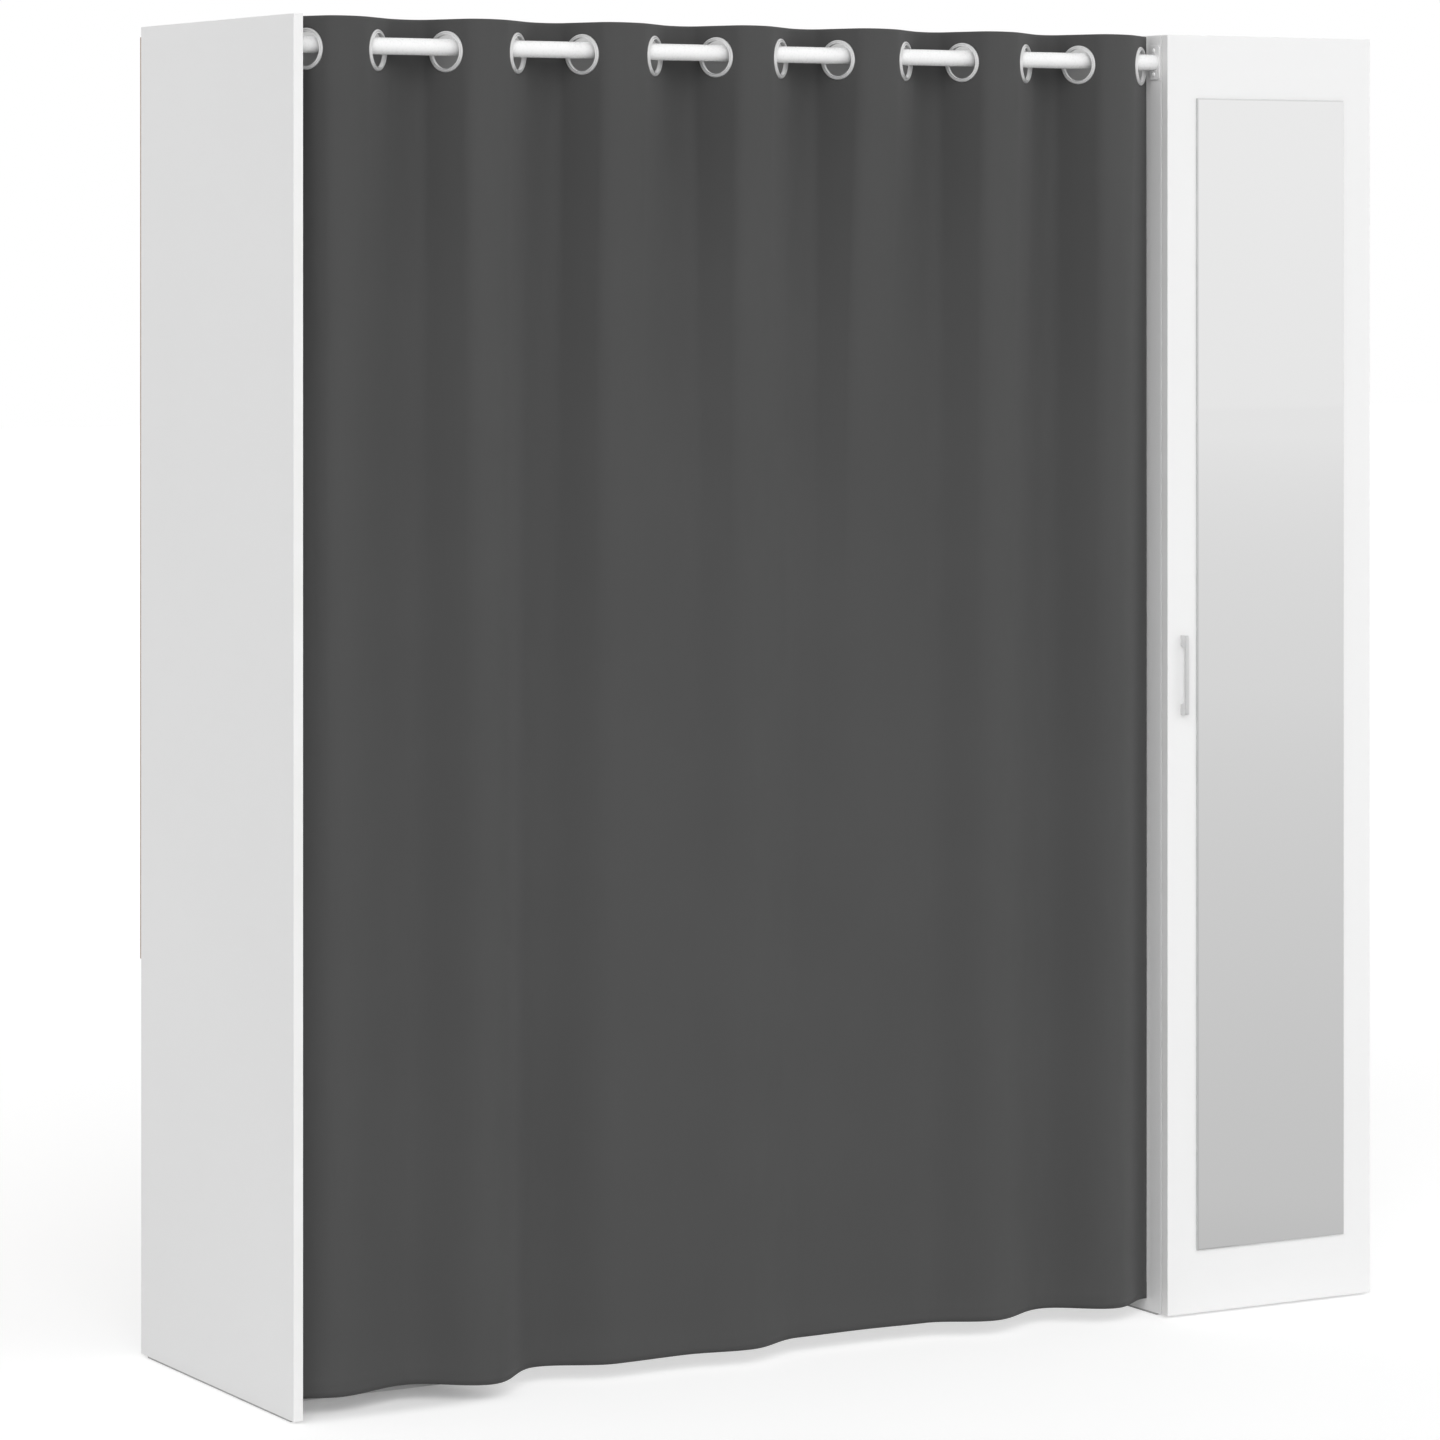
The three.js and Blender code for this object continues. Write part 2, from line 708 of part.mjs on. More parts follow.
// Every column has a foot, where the folds have eased out to the line of the hem
function addFeet(columns, eyeletCount) {
  const knots = [columns[0].top.x];
  for (let index = 1; index < eyeletCount; index += 1) {
    knots.push((eyeletX[index - 1] + eyeletX[index]) / 2);
  }
  knots.push(columns[columns.length - 1].top.x);
  for (const column of columns) {
    const span = Math.min(Math.floor(column.phase), eyeletCount - 1);
    const share = column.phase - span;
    const swing = (1 - Math.cos(Math.PI * share)) / 2;
    const depth = THREE.MathUtils.lerp(footShares[span], footShares[span + 1], swing) * foldDepth;
    const x = THREE.MathUtils.lerp(knots[span], knots[span + 1], share);
    column.foot = new THREE.Vector2(x, rodSetback + depth);
  }
}

function clothRows() {
  const rows = [
    { height: clothTop, ease: 0 },
    { height: clothTop - headingDrop, ease: 0 },
  ];
  for (const { heightShare, ease } of easeRows) {
    rows.push({ height: THREE.MathUtils.lerp(clothHem, clothTop, heightShare), ease });
  }
  return rows;
}

// Points of one face of the cloth, half a thickness to one side of its plan line
function clothFace(columns, rows, side) {
  const offset = (side * clothThickness) / 2;
  const positions = [];
  for (const { height, ease } of rows) {
    const line = columns.map(({ top, foot }) => top.clone().lerp(foot, ease));
    columns.forEach(({ along }, index) => {
      const before = line[Math.max(index - 1, 0)];
      const after = line[Math.min(index + 1, line.length - 1)];
      const eased = after.clone().sub(before).normalize();
      const tangent = along.clone().lerp(eased, ease).normalize();
      positions.push(line[index].x - tangent.y * offset, line[index].y + tangent.x * offset, height);
    });
  }
  return positions;
}

function clothGeometry(columns, rows) {
  const across = columns.length;
  const lastRow = rows.length - 1;
  const lastColumn = across - 1;
  const front = (row, column) => row * across + column;
  const rear = (row, column) => (rows.length + row) * across + column;
  const faces = [];
  const quad = (a, b, c, d) => faces.push(a, b, c, a, c, d);
  for (let row = 0; row < lastRow; row += 1) {
    const below = row + 1;
    for (let column = 0; column < lastColumn; column += 1) {
      const next = column + 1;
      quad(front(row, column), front(below, column), front(below, next), front(row, next));
      quad(rear(row, column), rear(row, next), rear(below, next), rear(below, column));
    }
    quad(front(row, 0), rear(row, 0), rear(below, 0), front(below, 0));
    quad(
      front(row, lastColumn), front(below, lastColumn), rear(below, lastColumn), rear(row, lastColumn),
    );
  }
  for (let column = 0; column < lastColumn; column += 1) {
    const next = column + 1;
    quad(front(0, column), front(0, next), rear(0, next), rear(0, column));
    quad(front(lastRow, column), rear(lastRow, column), rear(lastRow, next), front(lastRow, next));
  }
  const positions = [...clothFace(columns, rows, -1), ...clothFace(columns, rows, 1)];
  const geometry = new THREE.BufferGeometry();
  geometry.setAttribute('position', new THREE.Float32BufferAttribute(positions, 3));
  geometry.setIndex(faces);
  return geometry;
}

function curtain() {
  const holes = eyeletX.map((x, index) => {
    const hole = cylinder(clothHoleRadius, [-eyeletThickness, eyeletThickness], clothHoleSides, 'y');
    return hole.rotateZ(eyeletTurn(index)).translate(x, rodSetback, eyeletHeight);
  });
  return part('curtain', cut(clothGeometry(clothColumns(), clothRows()), holes), greyCloth);
}

// The whole wardrobe, with the origin on the floor under the middle of its outer box
const door = new THREE.Group();
door.add(
  doorBoard(),
  mirrorPane(),
  doorHandle(),
  ...numbered('hinge_cup', hingeCup, brightSteel),
);
const wardrobe = new THREE.Group();
wardrobe.add(
  shelfColumn(),
  mirrorCabinet(),
  floorSkids(),
  ...numbered('hinge_arm', hingeArm, brightSteel),
  door,
  rods(),
  eyelets(),
  curtain(),
);
wardrobe.position.set(-overallWidth / 2, (handleProjection - backDepthSpan[1]) / 2, skidHeight);

const scene = new THREE.Group();
scene.add(wardrobe);

export default scene;
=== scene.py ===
# %% [markdown]
# # A curtain wardrobe, dressed for its picture
# The wardrobe has a left side panel, a shelf column and a hanging bay behind a grey eyelet
# curtain, and a narrow cabinet with a mirror door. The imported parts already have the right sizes
# and places. This lesson gives them the look of melamine board, woven cloth, satin metal,
# enamel and silvered glass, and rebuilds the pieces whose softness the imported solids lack.
# Lengths are in metres. The wardrobe faces -Y, the cabinet is at +X and the floor is z = 0.

# %% Setup
import json
import math

import bmesh
import bpy
import numpy as np
from mathutils import Matrix, Vector, noise


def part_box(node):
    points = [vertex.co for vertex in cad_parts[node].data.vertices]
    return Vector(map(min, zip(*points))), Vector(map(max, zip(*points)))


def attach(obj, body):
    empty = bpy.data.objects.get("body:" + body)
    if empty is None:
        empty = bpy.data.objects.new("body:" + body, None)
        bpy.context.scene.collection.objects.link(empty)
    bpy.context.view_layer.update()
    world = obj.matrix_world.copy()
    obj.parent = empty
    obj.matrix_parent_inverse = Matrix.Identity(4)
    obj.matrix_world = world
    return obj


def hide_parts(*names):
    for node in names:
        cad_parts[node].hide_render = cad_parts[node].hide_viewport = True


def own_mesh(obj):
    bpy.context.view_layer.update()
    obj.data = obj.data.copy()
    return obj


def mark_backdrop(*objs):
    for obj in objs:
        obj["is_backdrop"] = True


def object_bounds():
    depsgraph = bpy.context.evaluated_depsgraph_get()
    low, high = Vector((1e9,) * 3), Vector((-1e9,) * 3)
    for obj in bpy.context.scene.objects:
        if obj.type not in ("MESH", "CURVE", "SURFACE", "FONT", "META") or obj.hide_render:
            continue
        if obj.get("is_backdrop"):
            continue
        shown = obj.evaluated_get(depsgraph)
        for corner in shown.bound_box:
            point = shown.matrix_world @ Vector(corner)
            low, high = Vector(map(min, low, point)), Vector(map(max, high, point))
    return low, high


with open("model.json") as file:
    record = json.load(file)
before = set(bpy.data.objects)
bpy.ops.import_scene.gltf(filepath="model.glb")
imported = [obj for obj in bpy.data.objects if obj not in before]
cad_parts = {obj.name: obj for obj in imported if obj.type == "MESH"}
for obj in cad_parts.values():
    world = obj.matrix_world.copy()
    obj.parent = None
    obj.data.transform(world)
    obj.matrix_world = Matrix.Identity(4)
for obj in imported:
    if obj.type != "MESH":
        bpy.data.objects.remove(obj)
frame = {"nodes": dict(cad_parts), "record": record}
cad_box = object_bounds()
nodes = frame["nodes"]
bodies = frame["record"]["behaviour"]["bodies"]
MM = 0.001
print("packed nodes:", len(nodes), "bodies:", len(bodies))

# %% [markdown]
# ## Camera
# The uprights of the wardrobe are parallel in the photograph while its long edges run together,
# so the camera was level and its lens was shifted down. It stands in front of the left end and
# looks 30 degrees to the right, at eye height.

# %% Camera
CAMERA_PLACE = (-4.199, -7.173, 1.687)
CAMERA_YAW = -29.75
LENS_LENGTH = 132.2
SENSOR_WIDTH = 36.0
LENS_SHIFT = -0.3252
camera_data = bpy.data.cameras.new("photo_camera")
camera_data.lens = LENS_LENGTH
camera_data.sensor_width = SENSOR_WIDTH
camera_data.shift_y = LENS_SHIFT
camera = bpy.data.objects.new("photo_camera", camera_data)
camera.location = CAMERA_PLACE
camera.rotation_euler = (math.radians(90), 0, math.radians(CAMERA_YAW))
bpy.context.collection.objects.link(camera)
bpy.context.scene.camera = camera
print("camera at", CAMERA_PLACE)

# %% [markdown]
# ## Shared surface effects
# Board, enamel and metal all have a fine grain that shows in their reflections before it shows
# as colour, and all of them drift a little in tone over a large area. Both effects are node
# groups with named sockets: each is built once, and every material sets its own scale and depth.

# %% Shared surface effects


def new_node(tree, kind, numbers):
    node = tree.nodes.new(kind)
    for key, number in numbers.items():
        node.inputs[key].default_value = number
    return node


def new_group(name, inputs, outputs):
    group = bpy.data.node_groups.new(name, "ShaderNodeTree")
    for direction, sockets in (("INPUT", inputs), ("OUTPUT", outputs)):
        for label, kind in sockets.items():
            group.interface.new_socket(label, in_out=direction, socket_type="NodeSocket" + kind)
    given = group.nodes.new("NodeGroupInput").outputs
    result = group.nodes.new("NodeGroupOutput").inputs
    return group, given, result


def build_fine_grain():
    """A fine noise, as a mask, as a roughness between two limits, and as a bumped normal."""
    group, given, result = new_group(
        "fine_grain",
        {"Vector": "Vector", "Scale": "Float", "Depth": "Float", "Smoothest": "Float", "Roughest": "Float"},
        {"Grain": "Float", "Roughness": "Float", "Normal": "Vector"},
    )
    speckle = new_node(group, "ShaderNodeTexNoise", {"Detail": 4.0, "Roughness": 0.6})
    spread = new_node(group, "ShaderNodeMapRange", {"From Min": 0.3, "From Max": 0.7})
    bump = new_node(group, "ShaderNodeBump", {"Strength": 0.4})
    link = group.links.new
    link(given["Vector"], speckle.inputs["Vector"])
    link(given["Scale"], speckle.inputs["Scale"])
    link(speckle.outputs["Fac"], spread.inputs["Value"])
    link(given["Smoothest"], spread.inputs["To Min"])
    link(given["Roughest"], spread.inputs["To Max"])
    link(speckle.outputs["Fac"], bump.inputs["Height"])
    link(given["Depth"], bump.inputs["Distance"])
    link(speckle.outputs["Fac"], result["Grain"])
    link(spread.outputs["Result"], result["Roughness"])
    link(bump.outputs["Normal"], result["Normal"])
    return group


def build_tone_drift():
    """A colour that wanders slowly between itself and a second one."""
    group, given, result = new_group(
        "tone_drift",
        {"Vector": "Vector", "Scale": "Float", "Color": "Color", "Other Color": "Color"},
        {"Color": "Color"},
    )
    cloud = new_node(group, "ShaderNodeTexNoise", {"Detail": 2.0})
    spread = new_node(group, "ShaderNodeMapRange", {"From Min": 0.35, "From Max": 0.65})
    mix = group.nodes.new("ShaderNodeMix")
    mix.data_type = "RGBA"
    link = group.links.new
    link(given["Vector"], cloud.inputs["Vector"])
    link(given["Scale"], cloud.inputs["Scale"])
    link(cloud.outputs["Fac"], spread.inputs["Value"])
    link(spread.outputs["Result"], mix.inputs[0])
    link(given["Color"], mix.inputs[6])
    link(given["Other Color"], mix.inputs[7])
    link(mix.outputs[2], result["Color"])
    return group


FINE_GRAIN = build_fine_grain()
TONE_DRIFT = build_tone_drift()
print("node groups:", [group.name for group in bpy.data.node_groups])

# %% [markdown]
# ## Material helper
# `Finish` holds one material while its nodes are added. A value that is a socket gets linked,
# and anything else is written on the socket, so constants stay on the shader itself.

# %% Material helper


class Finish:
    def __init__(self, name):
        self.material = bpy.data.materials.new(name)
        self.material.use_nodes = True
        self.tree = self.material.node_tree
        self.surface = self.tree.nodes["Principled BSDF"]
        self.output = self.tree.nodes["Material Output"]
        self.coords = self.add("ShaderNodeTexCoord").outputs["Object"]

    def add(self, kind, sockets=None, **settings):
        node = self.tree.nodes.new(kind)
        for key, value in settings.items():
            setattr(node, key, value)
        self.put(node, sockets or {})
        return node

    def put(self, node, sockets):
        for key, value in sockets.items():
            if isinstance(value, bpy.types.NodeSocket):
                self.tree.links.new(value, node.inputs[key])
            else:
                node.inputs[key].default_value = value

    def group(self, tree, sockets):
        node = self.tree.nodes.new("ShaderNodeGroup")
        node.node_tree = tree
        self.put(node, sockets)
        return node.outputs

    def stretched(self, scale):
        return self.add("ShaderNodeMapping", {"Vector": self.coords, "Scale": scale}).outputs["Vector"]


def shade(level, tint=(1.0, 1.0, 1.0)):
    return (*(level * share for share in tint), 1.0)


def plain_finish(name, color, other, scale, depth, gloss, stretch=(1, 1, 1), drift=2.0, **surface):
    """A material that is only its grain and its drift, from which most finishes start."""
    made = Finish(name)
    grain = made.group(FINE_GRAIN, {
        "Vector": made.stretched(stretch), "Scale": scale, "Depth": depth * MM,
        "Smoothest": gloss[0], "Roughest": gloss[1],
    })
    tone = made.group(TONE_DRIFT, {"Vector": made.coords, "Scale": drift, "Color": color, "Other Color": other})
    made.put(made.surface, {
        "Base Color": tone["Color"], "Roughness": grain["Roughness"], "Normal": grain["Normal"],
        **{key.replace("_", " "): value for key, value in surface.items()},
    })
    return made.material


print("helper ready")

# %% [markdown]
# ## Board finishes
# Melamine board is chipboard under a resin paper. Its faces have a fine pearl grain, satin and
# not glossy, and its cut edges carry a thin band whose grain runs along the board. The backs
# are hardboard: lacquered white towards the room, bare pressed fibre behind.

# %% Board finishes
WHITE = 0.875
MELAMINE = plain_finish(
    "white_melamine", shade(WHITE), shade(WHITE * 0.985), scale=900.0, depth=0.03, gloss=(0.38, 0.5),
    drift=1.5, Specular_IOR_Level=0.4,
)
EDGE_BAND = plain_finish(
    "white_edge_band", shade(WHITE), shade(WHITE * 0.97, (1.0, 1.0, 0.99)), scale=420.0, depth=0.05,
    gloss=(0.36, 0.46), stretch=(1, 1, 0.06), drift=9.0,
)
LACQUER = plain_finish(
    "white_lacquer", shade(WHITE * 0.99), shade(WHITE * 0.97), scale=240.0, depth=0.08, gloss=(0.3, 0.42), drift=3.0,
)


def bare_hardboard(name="bare_hardboard"):
    """Pressed fibre: brown flecks of two sizes over each other, with a rough felt-like surface."""
    made = Finish(name)
    fibre = made.group(FINE_GRAIN, {
        "Vector": made.stretched((1, 1, 0.5)), "Scale": 330.0, "Depth": 0.25 * MM, "Smoothest": 0.8, "Roughest": 0.95,
    })
    fleck = made.add("ShaderNodeTexNoise", {"Vector": made.coords, "Scale": 190.0, "Detail": 6.0})
    mask = made.add("ShaderNodeMath", {0: fibre["Grain"], 1: fleck.outputs["Fac"]}, operation="MULTIPLY")
    ramp = made.add("ShaderNodeValToRGB", {"Fac": mask.outputs["Value"]})
    ramp.color_ramp.elements[0].position = 0.12
    ramp.color_ramp.elements[0].color = shade(1.0, (0.34, 0.235, 0.18))
    ramp.color_ramp.elements[1].position = 0.42
    ramp.color_ramp.elements[1].color = shade(1.0, (0.47, 0.345, 0.27))
    made.put(made.surface, {
        "Base Color": ramp.outputs["Color"], "Roughness": fibre["Roughness"], "Normal": fibre["Normal"],
    })
    return made.material


HARDBOARD = bare_hardboard()
print("board finishes:", MELAMINE.name, EDGE_BAND.name, LACQUER.name, HARDBOARD.name)

# %% [markdown]
# ## Glass, metal, enamel and plastic
# A mirror is a metal surface that is almost perfectly smooth, seen through clear glass, so a
# metallic shader with a very low roughness is enough. Brushed pieces stretch the grain along
# the brush marks. The curtain rod is a steel tube with thick white enamel, which a clear coat
# gives its soft shine. Every one of them still has grain, because no real surface is even.

# %% Glass, metal, enamel and plastic
SILVER = plain_finish(
    "mirror_silver", shade(0.93), shade(0.925), scale=30.0, depth=0.0, gloss=(0.01, 0.02), drift=1.0, Metallic=1.0,
)
GLASS_EDGE = plain_finish(
    "mirror_glass_edge", shade(0.55, (0.97, 1.0, 0.99)), shade(0.48, (0.96, 1.0, 0.99)), scale=200.0, depth=0.02,
    gloss=(0.08, 0.2), drift=40.0, IOR=1.5,
)
NICKEL = plain_finish(
    "hinge_nickel", shade(0.66, (1.0, 0.98, 0.95)), shade(0.6, (1.0, 0.98, 0.95)), scale=500.0, depth=0.02,
    gloss=(0.2, 0.3), drift=60.0, Metallic=1.0,
)
CHROME = plain_finish(
    "hanging_rod_chrome", shade(0.78), shade(0.74), scale=600.0, depth=0.02, gloss=(0.1, 0.16),
    stretch=(0.04, 1, 1), drift=8.0, Metallic=1.0,
)
EYELET_METAL = plain_finish(
    "eyelet_satin", shade(0.88), shade(0.83), scale=800.0, depth=0.02, gloss=(0.3, 0.4), drift=50.0, Metallic=0.6,
)
HANDLE_METAL = plain_finish(
    "handle_satin", shade(0.79), shade(0.74), scale=900.0, depth=0.03, gloss=(0.3, 0.42),
    stretch=(1, 1, 0.05), drift=30.0, Metallic=0.75,
)
ZINC = plain_finish(
    "screw_zinc", shade(0.97), shade(0.92), scale=700.0, depth=0.02, gloss=(0.26, 0.36), drift=90.0, Metallic=0.15,
)
ENAMEL = plain_finish(
    "rod_enamel", shade(0.94), shade(0.93), scale=300.0, depth=0.05, gloss=(0.25, 0.32), drift=12.0,
    Coat_Weight=0.4, Coat_Roughness=0.1,
)
FLANGE_ENAMEL = plain_finish(
    "flange_enamel", shade(0.84), shade(0.82), scale=340.0, depth=0.06, gloss=(0.3, 0.38), drift=20.0,
    Coat_Weight=0.3, Coat_Roughness=0.15,
)
SKID_PLASTIC = plain_finish(
    "skid_plastic", shade(0.5), shade(0.44), scale=450.0, depth=0.1, gloss=(0.5, 0.7), drift=30.0,
)
print("finishes so far:", len(bpy.data.materials))

# %% [markdown]
# ## Cloth finish
# The curtain is a plain weave in charcoal polyester. Its UV map is laid out in metres on the
# flat cloth, so the threads stay even however the cloth folds: two crossed waves raise warp and
# weft, a stretched noise thickens single threads, and a second noise clouds the dye. Sheen
# stands for the fuzz that lightens cloth at glancing angles.

# %% Cloth finish
THREAD_SCALE = 420.0
CLOTH_LEVEL = 0.0745


def woven_cloth(name="curtain_cloth", level=CLOTH_LEVEL):
    made = Finish(name)
    flat = made.add("ShaderNodeUVMap", uv_map="cloth").outputs["UV"]
    threads = [
        made.add(
            "ShaderNodeTexWave", {"Vector": flat, "Scale": THREAD_SCALE, "Distortion": 0.6},
            bands_direction=direction,
        ).outputs["Fac"]
        for direction in ("X", "Y")
    ]
    weave = made.add("ShaderNodeMath", {0: threads[0], 1: threads[1]}, operation="MULTIPLY").outputs["Value"]
    along = made.add("ShaderNodeMapping", {"Vector": flat, "Scale": (1.0, 0.05, 1.0)}).outputs["Vector"]
    grain = made.group(FINE_GRAIN, {
        "Vector": along, "Scale": 260.0, "Depth": 0.1 * MM, "Smoothest": 0.84, "Roughest": 0.94,
    })
    height = made.add("ShaderNodeMath", {0: weave, 1: grain["Grain"]}, operation="ADD").outputs["Value"]
    relief = made.add("ShaderNodeBump", {"Height": height, "Distance": 0.3 * MM, "Strength": 0.3})
    tone = made.group(TONE_DRIFT, {
        "Vector": flat, "Scale": 4.0, "Color": shade(level), "Other Color": shade(level * 0.965),
    })
    thread = made.add("ShaderNodeMapRange", {"Value": grain["Grain"], "To Min": 0.93, "To Max": 1.07})
    color = made.add("ShaderNodeVectorMath", {0: tone["Color"], "Scale": thread.outputs["Result"]}, operation="SCALE")
    made.put(made.surface, {
        "Base Color": color.outputs["Vector"], "Roughness": grain["Roughness"], "Normal": relief.outputs["Normal"],
        "Specular IOR Level": 0.25, "Sheen Weight": 0.2, "Sheen Roughness": 0.5, "Sheen Tint": shade(0.5),
    })
    return made.material


CLOTH = woven_cloth()
print("cloth finish:", CLOTH.name)

# %% [markdown]
# ## Mesh helpers
# Each piece starts as a bmesh. `finish_piece` makes it an object that rides on a body, takes the
# finishes that it is given and stands for imported nodes. The other helpers start a box from two
# corners, round its arrises, and turn a half section round an axis.

# %% Mesh helpers


def finish_piece(bm, name, body, materials, stands_for=()):
    mesh = bpy.data.meshes.new(name)
    bm.to_mesh(mesh)
    bm.free()
    piece = bpy.data.objects.new(name, mesh)
    bpy.context.collection.objects.link(piece)
    for material in materials:
        mesh.materials.append(material)
    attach(piece, body)
    if stands_for:
        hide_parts(*stands_for)
    return piece


def smooth_below(bm, degrees=35.0):
    """Smooth shading everywhere but over edges sharper than the limit."""
    limit = math.radians(degrees)
    for face in bm.faces:
        face.smooth = True
    for edge in bm.edges:
        edge.smooth = len(edge.link_faces) == 2 and edge.calc_face_angle(0.0) < limit
    return bm


def start_box(low, high):
    bm = bmesh.new()
    middle = (Vector(low) + Vector(high)) / 2
    size = Vector(high) - Vector(low)
    bmesh.ops.create_cube(bm, size=1.0, matrix=Matrix.Translation(middle) @ Matrix.Diagonal((*size, 1.0)))
    return bm


def round_edges(bm, width, segments=2, degrees=30.0):
    limit = math.radians(degrees)
    sharp = [edge for edge in bm.edges if len(edge.link_faces) == 2 and edge.calc_face_angle(0.0) > limit]
    bmesh.ops.bevel(
        bm, geom=sharp, offset=width, offset_type="OFFSET", segments=segments, profile=0.5,
        affect="EDGES", material=-1, clamp_overlap=True,
    )
    bm.normal_update()
    return bm


AXIS_TURNS = {
    "X": Matrix.Rotation(math.radians(90), 3, "Y"),
    "Y": Matrix.Rotation(math.radians(-90), 3, "X"),
    "Z": Matrix.Identity(3),
}


def turned(section, sides, axis="Z", closed=True):
    """Turns (radius, height) points round the axis; an open section starts and ends on it."""
    bm = bmesh.new()
    verts = [bm.verts.new((radius, 0.0, height)) for radius, height in section]
    pairs = zip(verts, verts[1:] + verts[:1]) if closed else zip(verts, verts[1:])
    edges = [bm.edges.new(pair) for pair in pairs]
    bmesh.ops.spin(
        bm, geom=verts + edges, cent=(0, 0, 0), axis=(0, 0, 1), dvec=(0, 0, 0),
        angle=2 * math.pi, steps=sides, use_merge=True, use_duplicate=False,
    )
    bmesh.ops.remove_doubles(bm, verts=bm.verts, dist=1e-6)
    bmesh.ops.recalc_face_normals(bm, faces=bm.faces)
    bmesh.ops.rotate(bm, verts=bm.verts, matrix=AXIS_TURNS[axis])
    return bm


def move(bm, offset):
    bmesh.ops.translate(bm, verts=bm.verts, vec=offset)
    return bm


def join(bm, other):
    """Adds another bmesh's faces to this one."""
    mesh = bpy.data.meshes.new("joined")
    other.to_mesh(mesh)
    other.free()
    bm.from_mesh(mesh)
    bpy.data.meshes.remove(mesh)
    return bm


def middle_of(node):
    low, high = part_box(node)
    return (low + high) / 2


print("mesh helpers ready")

# %% [markdown]
# ## Boards
# A flat-pack board leaves the saw square, and its edge band is trimmed to a tiny radius. That
# radius is what catches the light along every corner, so each board is a box from its packed
# size with its arrises rounded by 0.4 mm. The two broad faces are melamine and the rest band.

# %% Boards
ARRIS = 0.4 * MM


def board_mesh(node, arris, segments=2):
    low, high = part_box(node)
    bm = round_edges(start_box(low, high), arris, segments)
    size = high - low
    thin = min(range(3), key=lambda axis: size[axis])
    for face in bm.faces:
        face.material_index = 0 if abs(face.normal[thin]) > 0.9 else 1
        face.smooth = max(abs(part) for part in face.normal) < 0.999
    return bm


def is_board(node):
    grouped = node.startswith(("column_", "cabinet_")) and not node.endswith(("_back", "_skid"))
    return grouped or node in ("left_side_panel", "top_board")


boards = sorted(filter(is_board, nodes))
for node in boards:
    finish_piece(board_mesh(node, ARRIS), node + "_board", "root", [MELAMINE, EDGE_BAND], [node])
print("boards:", len(boards))

# %% [markdown]
# ## Backs and skids
# The backs are thin sheets with crisp edges. Their front face is lacquered and everything else
# is bare fibre, which gives the brown line that shows past the side panel's rear edge. The
# skids are plastic rails under the uprights, with softly rounded corners.

# %% Backs and skids
SHEET_ARRIS = 0.2 * MM
SKID_ROUND = 0.8 * MM


def back_piece(node):
    bm = board_mesh(node, SHEET_ARRIS, segments=1)
    for face in bm.faces:
        face.material_index = 0 if face.normal.y < -0.9 else 1
    return finish_piece(bm, node + "_sheet", "root", [LACQUER, HARDBOARD], [node])


backs = [back_piece(node) for node in sorted(nodes) if node == "back_panel" or node.endswith("_back")]
skids = [
    finish_piece(
        smooth_below(round_edges(start_box(*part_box(node)), SKID_ROUND, 3), 60), node + "_rail", "root",
        [SKID_PLASTIC], [node],
    )
    for node in sorted(nodes) if node.endswith("_skid")
]
print("backs:", len(backs), "skids:", len(skids))

# %% [markdown]
# ## Door
# The door is one board with four round pockets for the hinge cups. A boolean cuts them, as a
# drill would. The cutters are joined into one mesh, so that the cut runs once, and the result
# is kept as the door's own mesh.

# %% Door
DOOR_ARRIS = 0.8 * MM
POCKET_RADIUS = 17.6 * MM
POCKET_FLOOR = 12.4 * MM
CUTTER_OVERRUN = 2 * MM
door_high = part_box("mirror_door")[1]
cups = sorted(node for node in nodes if node.startswith("hinge_cup_"))


def pocket_centre(node):
    centre = middle_of(node)
    return Vector((centre.x, door_high.y, centre.z))


def pocket_cutter():
    bm = bmesh.new()
    length = POCKET_FLOOR + CUTTER_OVERRUN
    for node in cups:
        place = Matrix.Translation(pocket_centre(node) + Vector((0, CUTTER_OVERRUN - length / 2, 0)))
        bmesh.ops.create_cone(
            bm, cap_ends=True, segments=72, radius1=POCKET_RADIUS, radius2=POCKET_RADIUS, depth=length,
            matrix=place @ Matrix.Rotation(math.radians(90), 4, "X"),
        )
    mesh = bpy.data.meshes.new("pocket_cutter")
    bm.to_mesh(mesh)
    bm.free()
    cutter = bpy.data.objects.new("pocket_cutter", mesh)
    bpy.context.collection.objects.link(cutter)
    return cutter


def door_piece():
    door = finish_piece(
        board_mesh("mirror_door", DOOR_ARRIS, 3), "mirror_door_board", "door", [MELAMINE, EDGE_BAND],
        ["mirror_door"],
    )
    cutter = pocket_cutter()
    cut = door.modifiers.new("pockets", "BOOLEAN")
    cut.operation = "DIFFERENCE"
    cut.solver = "EXACT"
    cut.object = cutter
    bpy.context.view_layer.update()
    mesh = bpy.data.meshes.new_from_object(door.evaluated_get(bpy.context.evaluated_depsgraph_get()))
    door.modifiers.clear()
    door.data = mesh
    bpy.data.objects.remove(cutter)
    return door


door = door_piece()
print("door faces:", len(door.data.polygons))

# %% [markdown]
# ## Mirror
# The pane is glued to the door, with a narrow ground bevel round its front. Insetting the front
# face and pushing the old rim back makes the bevel in one step. Only a hair of glass edge shows.

# %% Mirror
BEVEL_WIDTH = 3 * MM
BEVEL_DEPTH = 0.9 * MM


def mirror_piece():
    bm = start_box(*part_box("door_mirror"))
    front = min(bm.faces, key=lambda face: face.calc_center_median().y)
    bevel = bmesh.ops.inset_region(bm, faces=[front], thickness=BEVEL_WIDTH, depth=0.0)["faces"]
    for vert in {vert for face in bevel for vert in face.verts} - set(front.verts):
        vert.co.y += BEVEL_DEPTH
    bm.normal_update()
    for face in bm.faces:
        face.material_index = 0 if face.normal.y < -0.5 else 1
    return finish_piece(bm, "door_mirror_pane", "door", [SILVER, GLASS_EDGE], ["door_mirror"])


